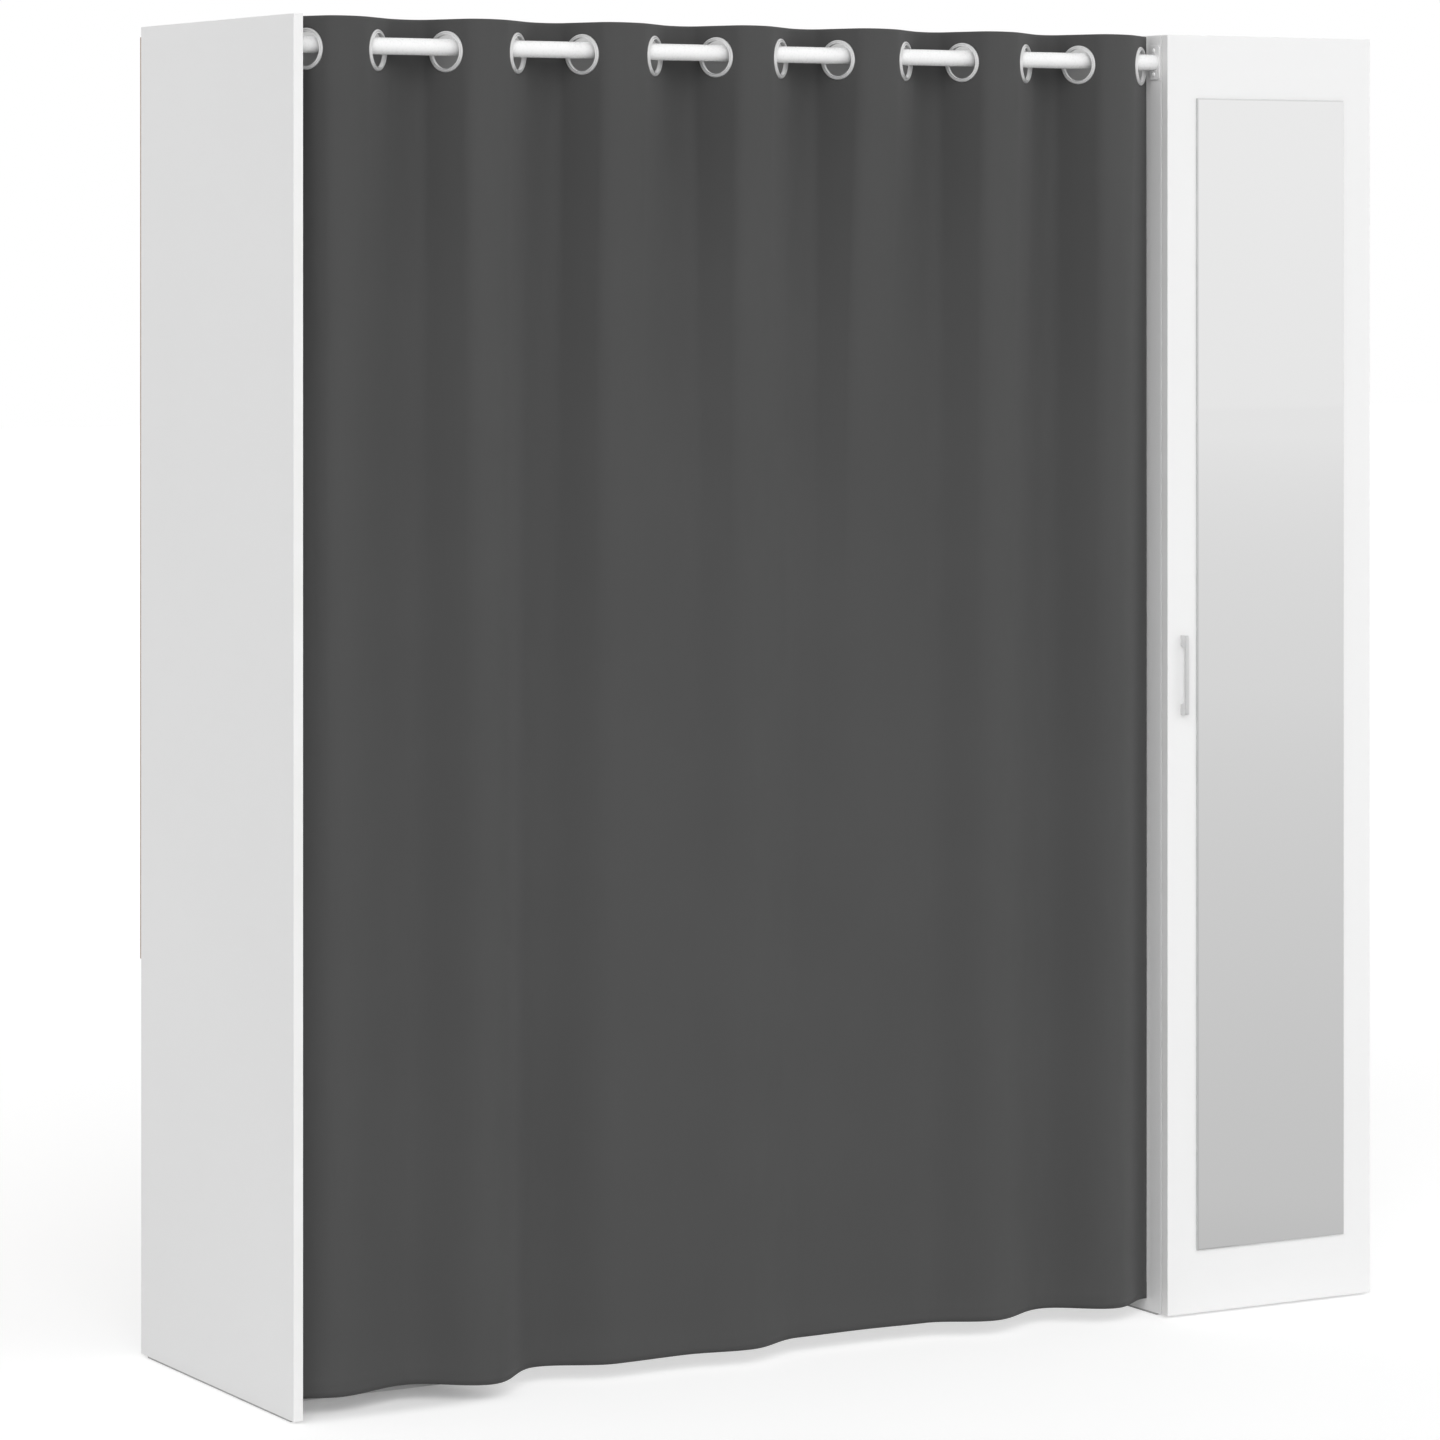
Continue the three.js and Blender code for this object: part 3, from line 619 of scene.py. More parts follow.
mirror = mirror_piece()
print("mirror faces:", len(mirror.data.polygons))

# %% [markdown]
# ## Handle
# The bow handle is cut from one flat bar: two square feet and a slim grip, rounded where the
# grip meets the feet. Its side outline is drawn with true arcs, extruded to the bar's width
# and then rounded along its arrises, which is quicker and truer than sweeping a section.

# %% Handle
FOOT_HEIGHT = 17 * MM
GRIP_THICKNESS = 5.5 * MM
OUTER_ROUND = 4 * MM
INNER_ROUND = 6 * MM
BAR_ARRIS = 0.7 * MM


def arc(y, z, radius, start, end, steps=10):
    for step in range(steps + 1):
        angle = math.radians(start + (end - start) * step / steps)
        yield (y - radius * math.sin(angle), z + radius * math.cos(angle))


def handle_outline(front, back, half):
    gap = front + GRIP_THICKNESS + INNER_ROUND
    inner = half - FOOT_HEIGHT - INNER_ROUND
    outer = half - OUTER_ROUND
    points = [(back, -half), (back, FOOT_HEIGHT - half)]
    points += arc(gap, -inner, INNER_ROUND, 180, 90)
    points += arc(gap, inner, INNER_ROUND, 90, 0)
    points += [(back, half - FOOT_HEIGHT), (back, half)]
    points += arc(front + OUTER_ROUND, outer, OUTER_ROUND, 0, 90)
    points += arc(front + OUTER_ROUND, -outer, OUTER_ROUND, 90, 180)
    return points


def extruded(outline, start, length):
    """A face through (y, z) points, pulled along X."""
    bm = bmesh.new()
    face = bm.faces.new([bm.verts.new((start, y, z)) for y, z in outline])
    grown = bmesh.ops.extrude_face_region(bm, geom=[face])
    ends = [part for part in grown["geom"] if isinstance(part, bmesh.types.BMVert)]
    bmesh.ops.translate(bm, verts=ends, vec=(length, 0, 0))
    bmesh.ops.recalc_face_normals(bm, faces=bm.faces)
    return bm


def handle_piece():
    low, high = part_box("door_handle")
    bm = extruded(handle_outline(low.y, high.y, (high.z - low.z) / 2), low.x, high.x - low.x)
    move(bm, (0, 0, (low.z + high.z) / 2))
    smooth_below(round_edges(bm, BAR_ARRIS, 3, degrees=60))
    return finish_piece(bm, "door_handle_bow", "door", [HANDLE_METAL], ["door_handle"])


handle = handle_piece()
print("handle faces:", len(handle.data.polygons))

# %% [markdown]
# ## Rods
# Both rods are tubes. A full spin of a small wall section gives the outside, the bore and the
# softened ends at once, with enough sides that the highlight along the rod stays straight.

# %% Rods
TUBE_WALL = 1.2 * MM
TUBE_END_SOFTNESS = 0.3 * MM
ROUND_SIDES = 96


def rod_piece(node, material):
    low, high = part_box(node)
    outer = (high.z - low.z) / 2
    bore = outer - TUBE_WALL
    face = outer - TUBE_END_SOFTNESS
    section = [
        (bore, low.x), (face, low.x), (outer, low.x + TUBE_END_SOFTNESS),
        (outer, high.x - TUBE_END_SOFTNESS), (face, high.x), (bore, high.x),
    ]
    centre = middle_of(node)
    bm = move(turned(section, ROUND_SIDES, "X"), (0, centre.y, centre.z))
    return finish_piece(smooth_below(bm), node + "_tube", "root", [material], [node])


curtain_rod = rod_piece("curtain_rod", ENAMEL)
hanging_rod = rod_piece("hanging_rod", CHROME)
print("rods:", curtain_rod.name, hanging_rod.name)

# %% [markdown]
# ## Rod flanges
# A flange is a small plate with rounded corners, screwed to the board, and a low collar that
# holds the rod's end. The plate is an extruded outline and the collar a turned ring.

# %% Rod flanges
PLATE_THICKNESS = 2.5 * MM
PLATE_CORNER = 6 * MM
PLATE_ARRIS = 0.6 * MM
COLLAR_BORE = 12.8 * MM
COLLAR_RADIUS = 14.1 * MM
COLLAR_SINK = 0.2 * MM
OUTER_SOFTNESS = 0.4 * MM
BORE_SOFTNESS = 0.3 * MM


def plate_outline(width, height, steps=8):
    for corner, (side, up) in enumerate(((1, 1), (-1, 1), (-1, -1), (1, -1))):
        for step in range(steps + 1):
            angle = math.radians(90 * (corner + step / steps))
            yield (
                side * (width / 2 - PLATE_CORNER) + PLATE_CORNER * math.cos(angle),
                up * (height / 2 - PLATE_CORNER) + PLATE_CORNER * math.sin(angle),
            )


def flange_piece(node, material):
    low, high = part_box(node)
    depth = high.x - low.x
    bm = extruded(list(plate_outline(high.y - low.y, high.z - low.z)), 0.0, PLATE_THICKNESS)
    round_edges(bm, PLATE_ARRIS, 3, degrees=60)
    collar = turned([
        (COLLAR_BORE, COLLAR_SINK), (COLLAR_RADIUS, COLLAR_SINK), (COLLAR_RADIUS, depth - OUTER_SOFTNESS),
        (COLLAR_RADIUS - OUTER_SOFTNESS, depth), (COLLAR_BORE + BORE_SOFTNESS, depth),
        (COLLAR_BORE, depth - BORE_SOFTNESS),
    ], ROUND_SIDES, "X")
    join(bm, collar)
    on_left = node.endswith("left")
    if not on_left:
        bmesh.ops.rotate(bm, verts=bm.verts, matrix=Matrix.Rotation(math.pi, 3, "Z"))
    centre = middle_of(node)
    move(bm, (low.x if on_left else high.x, centre.y, centre.z))
    return finish_piece(smooth_below(bm), node + "_plate", "root", [material], [node])


flanges = [flange_piece(f"rod_flange_{side}", FLANGE_ENAMEL) for side in ("left", "right")]
flanges += [flange_piece(f"hanging_flange_{side}", NICKEL) for side in ("left", "right")]
print("flanges:", len(flanges))

# %% [markdown]
# ## Screws
# Every screw here is a pan head with a cross recess. The head is the upper half of a sphere,
# flattened, and the recess is pressed in by lowering the vertices that lie on the cross.

# %% Screws
SCREW_RADIUS = 3.5 * MM
SCREW_DOME = 1.5 * MM
ROD_SCREW_DOME = 2.2 * MM
ROD_SCREW_SEAT = 1.5 * MM
CROSS_REACH_SHARE = 0.62
CROSS_ARM_SHARE = 0.17
CROSS_DEPTH_SHARE = 0.55


def screw_head(name, place, direction, body, material, radius=SCREW_RADIUS, dome=SCREW_DOME, stands_for=()):
    """A head whose flat side lies on place, standing proud along direction."""
    bm = bmesh.new()
    bmesh.ops.create_uvsphere(bm, u_segments=48, v_segments=32, radius=radius)
    geometry = bm.verts[:] + bm.edges[:] + bm.faces[:]
    bmesh.ops.bisect_plane(bm, geom=geometry, plane_co=(0, 0, 0), plane_no=(0, 0, -1), clear_outer=True)
    bmesh.ops.holes_fill(bm, edges=[edge for edge in bm.edges if edge.is_boundary], sides=0)
    for vert in bm.verts:
        vert.co.z *= dome / radius
        reach = math.hypot(vert.co.x, vert.co.y)
        arm = min(abs(vert.co.x), abs(vert.co.y))
        if reach < CROSS_REACH_SHARE * radius and arm < CROSS_ARM_SHARE * radius:
            vert.co.z -= CROSS_DEPTH_SHARE * dome
    turn = Vector((0, 0, 1)).rotation_difference(Vector(direction)).to_matrix()
    bmesh.ops.rotate(bm, verts=bm.verts, matrix=turn)
    bmesh.ops.recalc_face_normals(bm, faces=bm.faces)
    return finish_piece(smooth_below(move(bm, place), 50), name, body, [material], stands_for)


def rod_screw(node):
    low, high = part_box(node)
    centre = middle_of(node)
    on_left = "left" in node
    seat = high.x - ROD_SCREW_SEAT if on_left else low.x + ROD_SCREW_SEAT
    return screw_head(
        node + "_head", (seat, centre.y, centre.z), (1 if on_left else -1, 0, 0), "root", ZINC,
        dome=ROD_SCREW_DOME, stands_for=[node],
    )


rod_screws = [rod_screw(node) for node in sorted(nodes) if node.startswith("rod_screw_")]
print("rod screws:", len(rod_screws))

# %% [markdown]
# ## Eyelets
# An eyelet is two pressed rings clamped together through the cloth. From the rim inwards a
# section of one side climbs over a broad lip, dips into a groove, rises over the inner lip and
# rolls into the bore; the other side is its reflection. Each eyelet lies in the plane of the
# cloth that it clamps, so it is turned by the same angle as the curtain's plan line below, and
# it rides on the body that the record gives it.

# %% Eyelets
RISING_TURN = math.radians(-63)
FALLING_TURN = math.radians(40)
EYELET_BORE = 25 * MM
EYELET_HALF_THICKNESS = 3.5 * MM
LIP_SHARES = (
    (1, 0.09), (0.99, 0.37), (0.93, 0.6), (0.8, 0.79), (0.64, 0.86), (0.47, 0.8), (0.36, 0.66),
    (0.29, 0.66), (0.24, 0.8), (0.18, 0.94), (0.11, 1), (0.04, 0.91), (0.01, 0.71), (0, 0.34),
)
eyelets = sorted(node for node in nodes if node.startswith("eyelet_"))
centres = [middle_of(node) for node in eyelets]
turns = [RISING_TURN if index % 2 == 0 else FALLING_TURN for index in range(len(eyelets))]


def eyelet_section(rim):
    """Radius and height of the whole section: one face from rim to bore, and its reflection."""
    face = [
        (EYELET_BORE + (rim - EYELET_BORE) * outward, EYELET_HALF_THICKNESS * up) for outward, up in LIP_SHARES
    ]
    return face + [(radius, -height) for radius, height in reversed(face)]


def eyelet_piece(node, centre, turn):
    low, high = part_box(node)
    bm = turned(eyelet_section((high.z - low.z) / 2), ROUND_SIDES, "Y")
    bmesh.ops.rotate(bm, verts=bm.verts, matrix=Matrix.Rotation(turn, 3, "Z"))
    body = next(name for name, members in bodies.items() if node in members)
    piece = finish_piece(
        smooth_below(move(bm, centre), 60), node + "_ring", body, [EYELET_METAL], [node],
    )
    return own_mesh(piece)


rings = [eyelet_piece(*parts) for parts in zip(eyelets, centres, turns)]
print("eyelets:", len(rings))

# %% [markdown]
# ## The curtain's plan line
# Seen from above, the cloth runs straight through each eyelet and rounds over between them, so
# the top line is a chain of straight runs joined by cubic curves. At the hem the same folds are
# shallower and uneven: each fold has its own depth there, as a share of a full fold.

# %% The curtain's plan line
cloth_low, cloth_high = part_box("curtain")
FLAT_HALF = 32 * MM
SIDE_HEM = 2 * MM
ROUNDNESS = 27 * MM
FOLD_DEPTH = 45 * MM
FLAT_SHARES = (0.3, 0.7)
HEM_SHARES = (0.47, 0, 0.64, -0.73, 0.96, 0.07, 0.18, -0.18, 0.73, 0.78, 0.67, -0.2, 0.78, -0.49, 0.47)


def straight_runs():
    """Direction, start and end of the cloth's run through each eyelet."""
    for index, (centre, turn) in enumerate(zip(centres, turns)):
        along = np.array((math.cos(turn), math.sin(turn)))
        middle = np.array((centre.x, centre.y))
        before = FLAT_HALF + (SIDE_HEM if index == 0 else 0)
        after = FLAT_HALF + (SIDE_HEM if index == len(centres) - 1 else 0)
        yield along, middle - along * before, middle + along * after


def cubic(start, first, second, end, share):
    rest = 1 - share
    return (
        rest ** 3 * start + 3 * rest * rest * share * first
        + 3 * rest * share * share * second + share ** 3 * end
    )


def top_line(run_steps=14, fold_steps=16):
    """Points along the top, and each point's phase, which is a whole number mid-fold."""
    points, phases = [], []
    runs = list(straight_runs())
    first_share, last_share = FLAT_SHARES
    for index, (along, start, end) in enumerate(runs):
        for step in range(run_steps + 1):
            share = step / run_steps
            points.append(start + (end - start) * share)
            phases.append(index + first_share + (last_share - first_share) * share)
        if index + 1 == len(runs):
            break
        next_along, next_start, _ = runs[index + 1]
        for step in range(1, fold_steps):
            share = step / fold_steps
            points.append(cubic(
                end, end + along * ROUNDNESS, next_start - next_along * ROUNDNESS, next_start, share,
            ))
            phases.append(index + last_share + (1 + first_share - last_share) * share)
    return np.array(points), spread_ends(np.array(phases), len(runs))


def spread_ends(phases, count):
    """The two side edges of the cloth count as the middles of folds of their own."""
    first_share, last_share = FLAT_SHARES
    early = phases < 0.5
    late = phases > count - 0.5
    phases[early] = np.interp(phases[early], (first_share, 0.5), (0.0, 0.5))
    phases[late] = np.interp(phases[late], (count - 0.5, count - 1 + last_share), (count - 0.5, count))
    return phases


def hem_line(points, phases):
    """The hem's points, straight below the folds that they end."""
    xs = [centre.x for centre in centres]
    knots = [points[0][0]] + [(a + b) / 2 for a, b in zip(xs, xs[1:])] + [points[-1][0]]
    x = np.interp(phases, range(len(knots)), knots)
    fold = np.minimum(phases.astype(int), len(HEM_SHARES) - 2)
    swing = (1 - np.cos(math.pi * (phases - fold))) / 2
    shares = np.array(HEM_SHARES)
    depth = shares[fold] * (1 - swing) + shares[fold + 1] * swing
    return np.stack([x, centres[0].y + depth * FOLD_DEPTH], axis=1)


TOP_LINE, PHASES = top_line()
HEM_LINE = hem_line(TOP_LINE, PHASES)
distance_along = np.concatenate([[0.0], np.cumsum(np.linalg.norm(np.diff(TOP_LINE, axis=0), axis=1))])
print("columns:", len(TOP_LINE), "flat width:", round(float(distance_along[-1]), 3))

# %% [markdown]
# ## The hanging cloth
# The sheet is a grid whose columns follow the plan line and whose rows go down the cloth. The
# eyelets hold the heading stiff, and below it each row eases from the top line to the hem line,
# fast at first and then slowly, as hanging folds do. Simulation would give softer wrinkles, but
# this curtain hangs smooth, and a drawn grid keeps the folds where the photograph has them.

# %% The hanging cloth
HEADING_DROP = 100 * MM
EASE_POWER = 3.3
HOLE_RADIUS = 27.6 * MM
HEM_HEIGHT = 25 * MM
HEM_THICKNESS = 2 * MM
SINGLE_SHARE = 0.6
SEAM = 1.5 * MM
EDGE_GAP = 0.2 * MM
BAND_HALF_MM = 36
RIPPLE = 0.9 * MM
RIPPLES_ACROSS, RIPPLES_DOWN, RIPPLE_LAYER = 9, 1.3, 4.0


def row_heights():
    """Rows from the top down, close together round the eyelets and at the hem's seam."""
    top, bottom = cloth_high.z - EDGE_GAP, cloth_low.z + EDGE_GAP
    ring = centres[0].z
    band = [ring + offset * MM for offset in np.linspace(BAND_HALF_MM, -BAND_HALF_MM, 19)]
    seam = [bottom + HEM_HEIGHT + SEAM, bottom + HEM_HEIGHT]
    upper = list(np.linspace(top, band[0], 4))[:-1]
    lower = list(np.linspace(band[-1], seam[0], 60))[1:-1]
    return upper + band + lower + seam + list(np.linspace(seam[-1], bottom, 4))[1:]


def ease_at(z):
    heading = cloth_high.z - HEADING_DROP
    share = min(max((heading - z) / (heading - cloth_low.z), 0.0), 1.0)
    return 1 - (1 - share) ** EASE_POWER


def cloth_point(column, z):
    ease = ease_at(z)
    x, y = TOP_LINE[column] * (1 - ease) + HEM_LINE[column] * ease
    spot = Vector((distance_along[column] * RIPPLES_ACROSS, z * RIPPLES_DOWN, RIPPLE_LAYER))
    wander = noise.noise(spot) * RIPPLE * ease
    return (x, y + wander, z)


def cut_hole(bm, centre, turn):
    """Removes the cloth inside an eyelet and draws the edge of the hole onto a circle."""
    normal = Vector((-math.sin(turn), math.cos(turn), 0.0))
    reach = Vector((abs(math.cos(turn)), abs(math.sin(turn)), 1.0)) * HOLE_RADIUS + Vector((1, 1, 1)) * MM

    def in_plane(point):
        away = point - centre
        return away - normal * away.dot(normal)

    def is_inside(face):
        away = face.calc_center_median() - centre
        near = all(abs(part) < limit for part, limit in zip(away, reach))
        return near and in_plane(face.calc_center_median()).length < HOLE_RADIUS

    inside = [face for face in bm.faces if is_inside(face)]
    removed = set(inside)
    rim = {vert for face in inside for vert in face.verts if not removed.issuperset(vert.link_faces)}
    bmesh.ops.delete(bm, geom=inside, context="FACES")
    for vert in rim:
        vert.co = centre + in_plane(vert.co).normalized() * HOLE_RADIUS


def curtain_mesh():
    heights = row_heights()
    columns, rows = len(TOP_LINE) - 1, len(heights) - 1
    bm = bmesh.new()
    bmesh.ops.create_grid(bm, x_segments=columns, y_segments=rows, size=1.0)
    flat_map = bm.loops.layers.uv.new("cloth")
    address = {
        vert: (round((vert.co.x + 1) / 2 * columns), round((1 - vert.co.y) / 2 * rows)) for vert in bm.verts
    }
    for vert, (column, row) in address.items():
        vert.co = cloth_point(column, heights[row])
    for face in bm.faces:
        face.smooth = True
        for loop in face.loops:
            column, row = address[loop.vert]
            loop[flat_map].uv = (distance_along[column], heights[row])
    for centre, turn in zip(centres, turns):
        cut_hole(bm, centre, turn)
    bmesh.ops.recalc_face_normals(bm, faces=bm.faces)
    return bm


def thicken(piece):
    """Cloth thickness, doubled inside the bottom hem where the cloth is turned up."""
    hem = piece.vertex_groups.new(name="hem")
    limit = cloth_low.z + HEM_HEIGHT + SEAM / 3
    hem.add([vert.index for vert in piece.data.vertices if vert.co.z < limit], 1.0, "REPLACE")
    solid = piece.modifiers.new("thickness", "SOLIDIFY")
    solid.thickness = HEM_THICKNESS
    solid.offset = 0.0
    solid.use_even_offset = True
    solid.vertex_group = "hem"
    solid.thickness_vertex_group = SINGLE_SHARE
    return piece


curtain = thicken(finish_piece(curtain_mesh(), "curtain_cloth", "root", [CLOTH], ["curtain"]))
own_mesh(curtain)

# %% [markdown]
# ## Hinges
# The concealed hinges are stamped and cast steel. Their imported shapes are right, so each is
# copied, its loose triangles are merged and its corners get a small radius, which is what makes
# stamped metal look thick. Their screws are the same pan heads, a little smaller.

# %% Hinges
HINGE_SCREW_RADIUS = 3 * MM
HINGE_SCREW_DOME = 1 * MM
PLATE_FACE = 13.3 * MM
PLATE_SCREW_INSET = 26 * MM
PLATE_SCREW_REACH = 16 * MM
EAR_OFFSET = 9.5 * MM
EAR_THICKNESS = 1.3 * MM
EAR_SCREW_REACH = 24 * MM
ARM_ROUND = 0.25 * MM
CUP_ROUND = 0.2 * MM
ENDS = (("low", -1), ("high", 1))


def softened_copy(node, body, material, radius):
    bm = bmesh.new()
    bm.from_mesh(nodes[node].data)
    bmesh.ops.remove_doubles(bm, verts=bm.verts, dist=1e-6)
    bmesh.ops.dissolve_limit(bm, angle_limit=math.radians(1), verts=bm.verts, edges=bm.edges)
    round_edges(bm, radius, 2, degrees=50)
    return finish_piece(smooth_below(bm, 40), node + "_soft", body, [material], [node])


def hinge_screw(name, place, direction, body):
    return screw_head(name, place, direction, body, NICKEL, HINGE_SCREW_RADIUS, HINGE_SCREW_DOME)


arms = sorted(node for node in nodes if node.startswith("hinge_arm_"))
for node in arms:
    softened_copy(node, "root", NICKEL, ARM_ROUND)
    low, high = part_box(node)
    for name, side in ENDS:
        z = (low.z + high.z) / 2 + side * PLATE_SCREW_REACH
        place = (high.x - PLATE_FACE, high.y - PLATE_SCREW_INSET, z)
        hinge_screw(f"{node}_screw_{name}", place, (-1, 0, 0), "root")
for node in cups:
    softened_copy(node, "door", NICKEL, CUP_ROUND)
    centre = pocket_centre(node)
    for name, side in ENDS:
        place = (centre.x - EAR_OFFSET, door_high.y + EAR_THICKNESS, centre.z + side * EAR_SCREW_REACH)
        hinge_screw(f"{node}_screw_{name}", place, (0, 1, 0), "door")
print("hinges:", len(arms))

# %% [markdown]
# ## Shelf pins and handle screws
# Each loose shelf lies on four steel pins that stick out of the sides. A pin is a turned shape
# with a softened tip. The handle is screwed on from inside the door.

# %% Shelf pins and handle screws
PIN_RADIUS = 2.5 * MM
PIN_LENGTH = 9 * MM
PIN_INSET = 37 * MM
SHELF_GAP = 0.3 * MM
PIN_GAP = 0.1 * MM
PIN_SHARES = ((0, 0), (1, 0), (1, 0.93), (0.8, 1), (0, 1))


def shelf_pins(node):
    low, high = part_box(node)
    bm = bmesh.new()
    section = [(outward * PIN_RADIUS, along * PIN_LENGTH) for outward, along in PIN_SHARES]
    for start, side in ((low.x, 1), (high.x, -1)):
        for y in (low.y + PIN_INSET, high.y - PIN_INSET):
            pin = turned(section, 32, "X", closed=False)
            bmesh.ops.rotate(pin, verts=pin.verts, matrix=Matrix.Rotation(0 if side > 0 else math.pi, 3, "Z"))
            move(pin, (start - side * SHELF_GAP, y, low.z - PIN_RADIUS - PIN_GAP))
            join(bm, pin)
    return finish_piece(smooth_below(bm), node + "_pins", "root", [NICKEL])


pins = [shelf_pins(node) for node in boards if "_shelf_" in node]
handle_low, handle_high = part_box("door_handle")
for name, side in ENDS:
    z = (handle_low.z + handle_high.z) / 2 + side * ((handle_high.z - handle_low.z) - FOOT_HEIGHT) / 2
    place = ((handle_low.x + handle_high.x) / 2, door_high.y, z)
    screw_head(f"handle_screw_{name}", place, (0, 1, 0), "door", NICKEL)
print("pin sets:", len(pins))

# %% [markdown]
# ## Studio
# The photograph is on white. The floor is lit like any floor, but the camera sees it mixed with
# white, which leaves only a soft shadow. Mirror and metal see a room of greys instead: lighter
# far away and overhead, darker near the floor and straight in front, which is what gives the
# mirror its slow gradient and its bevel a thin darker line. Half of the light comes from all
# round. The rest is a broad soft lamp from the front left, which reaches into the folds of the
# curtain, and a weaker one from the front right. Two very weak strips hide behind the curtain's
# heading, so that the gaps inside the eyelets don't go black. In front of the column's plinth a
# fixed mask paints shade onto the floor: the camera sees less white there, where hardly any
# light reaches, and this painted shade shows under the hem.

# %% Studio
SKY_LEVEL = 0.53
LEFT_LEVEL = 0.43
RIGHT_LEVEL = 0.15
LEFT_COURSE = (0.465, 0.73, -0.5)
RIGHT_COURSE = (-0.557, 0.663, -0.5)
LAMP_SPREAD = 50
WATTS_PER_METRE = 0.22
STRIP_WIDTH = 0.06
STRIP_Y, STRIP_Z = -0.13, 1.93
STRIP_COURSE = (0, 1, -0.3)
FLOOR_WHITE_SHARE = 0.36
# White share of the floor patch before the column's plinth, where shade is painted.
PAINTED_SHADE_WHITE_SHARE = 0.15
FLOOR_WHITE = 1.56
FLOOR_HALF = 40.0
FLOOR_STOPS = ((0.0, 0.515), (0.025, 0.58), (0.1, 0.625), (0.3, 0.715), (1.0, 0.83))
WALL_STOPS = ((0.0, 0.83), (0.06, 0.87), (0.14, 0.93), (0.34, 0.88), (0.53, 0.77), (1.0, 0.70))
AHEAD_DIM = {"From Min": 0.1, "From Max": 0.35, "To Min": 0.84, "To Max": 1.0}
ROOM_BOTTOM = -0.06
# Sizes of the painted shade patch on the floor before the column's plinth.
SHADE_FADE = 10 * MM
SHADE_REACH = 20 * MM
SHADE_RIGHT_FADE = 110 * MM


def grey_room(tree, height, sideways, stops):
    """A grey from the stops, dimmed where a ray goes straight ahead and not to the right."""
    ramp = tree.nodes.new("ShaderNodeValToRGB")
    tree.links.new(height, ramp.inputs["Fac"])
    while len(ramp.color_ramp.elements) < len(stops):
        ramp.color_ramp.elements.new(0.5)
    for element, (place, level) in zip(ramp.color_ramp.elements, stops):
        element.position = place
        element.color = shade(level)
    dim = new_node(tree, "ShaderNodeMapRange", AHEAD_DIM)
    tree.links.new(sideways, dim.inputs["Value"])
    scale = tree.nodes.new("ShaderNodeVectorMath")
    scale.operation = "SCALE"
    tree.links.new(ramp.outputs["Color"], scale.inputs[0])
    tree.links.new(dim.outputs["Result"], scale.inputs["Scale"])
    return scale.outputs["Vector"]


def ray_kinds(tree):
    """Sockets that are 1 for a camera ray, and for a reflected or refracted one."""
    path = tree.nodes.new("ShaderNodeLightPath")
    either = tree.nodes.new("ShaderNodeMath")
    either.operation = "MAXIMUM"
    tree.links.new(path.outputs["Is Glossy Ray"], either.inputs[0])
    tree.links.new(path.outputs["Is Transmission Ray"], either.inputs[1])
    return path.outputs["Is Camera Ray"], either.outputs["Value"]


def mixed(tree, share, first, second):
    mix = tree.nodes.new("ShaderNodeMixShader")
    tree.links.new(share, mix.inputs["Fac"])
    tree.links.new(first, mix.inputs[1])
    tree.links.new(second, mix.inputs[2])
    return mix.outputs["Shader"]


def white_share_with_painted_shade(paint):
    """How much white the camera sees mixed into the floor: less before the column's plinth, as painted shade."""
    plinth_low, plinth_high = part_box("column_plinth")
    spot = paint.add("ShaderNodeSeparateXYZ", {"Vector": paint.coords})

    def fade(axis, start, end):
        span = {"Value": spot.outputs[axis], "From Min": start, "From Max": end}
        return paint.add("ShaderNodeMapRange", span, interpolation_type="SMOOTHSTEP").outputs["Result"]

    # The mask covers the floor before the column's plinth; there the white share drops, which paints shade.
    mask = fade("X", plinth_low.x - SHADE_FADE, plinth_low.x)
    for side in (
        fade("X", plinth_high.x + SHADE_REACH, plinth_high.x - SHADE_RIGHT_FADE),
        fade("Y", cloth_low.y - SHADE_REACH, (cloth_low.y + cloth_high.y) / 2),
        fade("Y", plinth_high.y + SHADE_FADE, plinth_high.y),
    ):
        mask = paint.add("ShaderNodeMath", {0: mask, 1: side}, operation="MULTIPLY").outputs["Value"]
    share = {"Value": mask, "To Min": FLOOR_WHITE_SHARE, "To Max": PAINTED_SHADE_WHITE_SHARE}
    return paint.add("ShaderNodeMapRange", share).outputs["Result"]


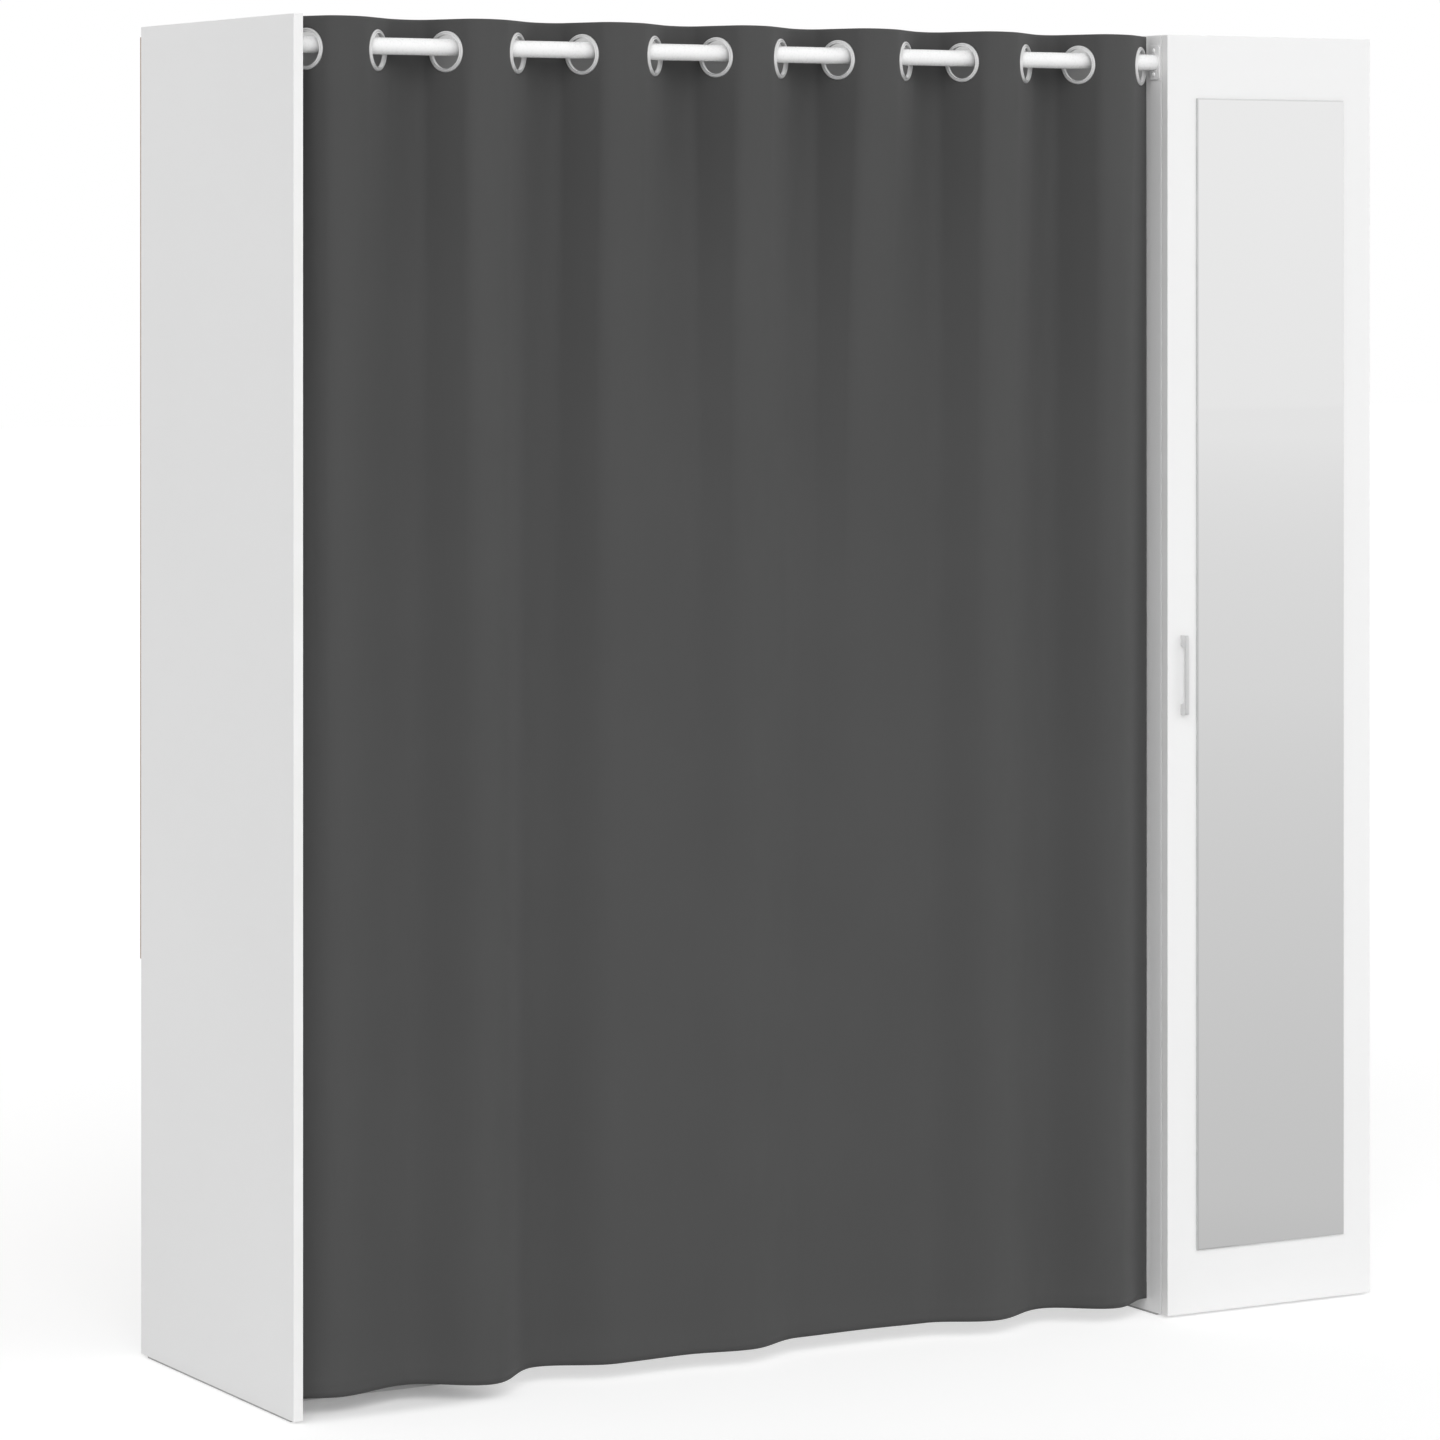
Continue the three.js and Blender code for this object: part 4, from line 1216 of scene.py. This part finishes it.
def studio_floor():
    bm = bmesh.new()
    bmesh.ops.create_grid(bm, x_segments=1, y_segments=1, size=FLOOR_HALF)
    mesh = bpy.data.meshes.new("studio_floor")
    bm.to_mesh(mesh)
    bm.free()
    floor = bpy.data.objects.new("studio_floor", mesh)
    bpy.context.collection.objects.link(floor)
    paint = Finish("studio_floor")
    tree = paint.tree
    paint.put(paint.surface, {"Base Color": shade(0.9), "Roughness": 0.9, "Specular IOR Level": 0.0})
    mirror_place = middle_of("door_mirror")
    below_mirror = (mirror_place.x, mirror_place.y, 0.0)
    away = paint.add("ShaderNodeVectorMath", {0: paint.coords, 1: below_mirror}, operation="SUBTRACT")
    length = paint.add("ShaderNodeVectorMath", {0: away.outputs["Vector"]}, operation="LENGTH")
    far = paint.add("ShaderNodeMath", {0: length.outputs["Value"], 1: FLOOR_HALF}, operation="DIVIDE")
    course = paint.add("ShaderNodeVectorMath", {0: away.outputs["Vector"]}, operation="NORMALIZE")
    split = paint.add("ShaderNodeSeparateXYZ", {"Vector": course.outputs["Vector"]})
    tone = grey_room(tree, far.outputs["Value"], split.outputs["X"], FLOOR_STOPS)
    reflected = paint.add("ShaderNodeEmission", {"Color": tone})
    white = paint.add("ShaderNodeEmission", {"Strength": FLOOR_WHITE})
    by_camera, by_gloss = ray_kinds(tree)
    share = paint.add("ShaderNodeMath", {0: by_camera, 1: white_share_with_painted_shade(paint)}, operation="MULTIPLY")
    seen = mixed(tree, share.outputs["Value"], paint.surface.outputs["BSDF"], white.outputs["Emission"])
    tree.links.new(mixed(tree, by_gloss, seen, reflected.outputs["Emission"]), paint.output.inputs["Surface"])
    mesh.materials.append(paint.material)
    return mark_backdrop(floor)


def studio_world():
    world = bpy.data.worlds.new("studio")
    bpy.context.scene.world = world
    world.use_nodes = True
    tree = world.node_tree
    tree.nodes.clear()

    def background(level):
        return new_node(tree, "ShaderNodeBackground", {"Color": shade(1.0), "Strength": level})

    course = tree.nodes.new("ShaderNodeTexCoord").outputs["Generated"]
    split = tree.nodes.new("ShaderNodeSeparateXYZ")
    tree.links.new(course, split.inputs["Vector"])
    height = new_node(tree, "ShaderNodeMapRange", {"From Min": ROOM_BOTTOM})
    tree.links.new(split.outputs["Z"], height.inputs["Value"])
    room = background(1.0)
    tree.links.new(grey_room(tree, height.outputs["Result"], split.outputs["X"], WALL_STOPS), room.inputs["Color"])
    by_camera, by_gloss = ray_kinds(tree)
    seen = mixed(tree, by_camera, background(SKY_LEVEL).outputs["Background"], background(1.0).outputs["Background"])
    output = tree.nodes.new("ShaderNodeOutputWorld")
    tree.links.new(mixed(tree, by_gloss, seen, room.outputs["Background"]), output.inputs["Surface"])
    return world


def hang_lamp(data, place, toward):
    lamp = bpy.data.objects.new(data.name, data)
    lamp.location = place
    lamp.rotation_euler = Vector(toward).to_track_quat("-Z", "Z").to_euler()
    lamp.visible_glossy = False
    lamp.visible_camera = False
    bpy.context.collection.objects.link(lamp)
    return lamp


def soft_sun(name, toward, level):
    """A lamp that shines along toward and gives a facing white wall the level as brightness."""
    data = bpy.data.lights.new(name, "SUN")
    data.energy = level * math.pi
    data.angle = math.radians(LAMP_SPREAD)
    return hang_lamp(data, (0, 0, 3), toward)


def strip_lamp(name, start, end):
    """A strip behind the curtain's heading, from one x to another, that shines on the back."""
    data = bpy.data.lights.new(name, "AREA")
    data.shape = "RECTANGLE"
    data.size = end - start
    data.size_y = STRIP_WIDTH
    data.energy = WATTS_PER_METRE * data.size
    return hang_lamp(data, ((start + end) / 2, STRIP_Y, STRIP_Z), STRIP_COURSE)


studio_floor()
studio_world()
soft_sun("left_light", LEFT_COURSE, LEFT_LEVEL)
soft_sun("right_light", RIGHT_COURSE, RIGHT_LEVEL)
for name, node in (("column_lamp", "column_shelf_1"), ("bay_lamp", "hanging_rod")):
    strip_lamp(name, *(corner.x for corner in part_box(node)))
bpy.context.scene.view_settings.view_transform = "Standard"
print("studio ready")

seen_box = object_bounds()
for axis in range(3):
    packed = cad_box[1][axis] - cad_box[0][axis]
    dressed = seen_box[1][axis] - seen_box[0][axis]
    print("axis", "XYZ"[axis], "packed", round(packed, 4), "dressed", round(dressed, 4))
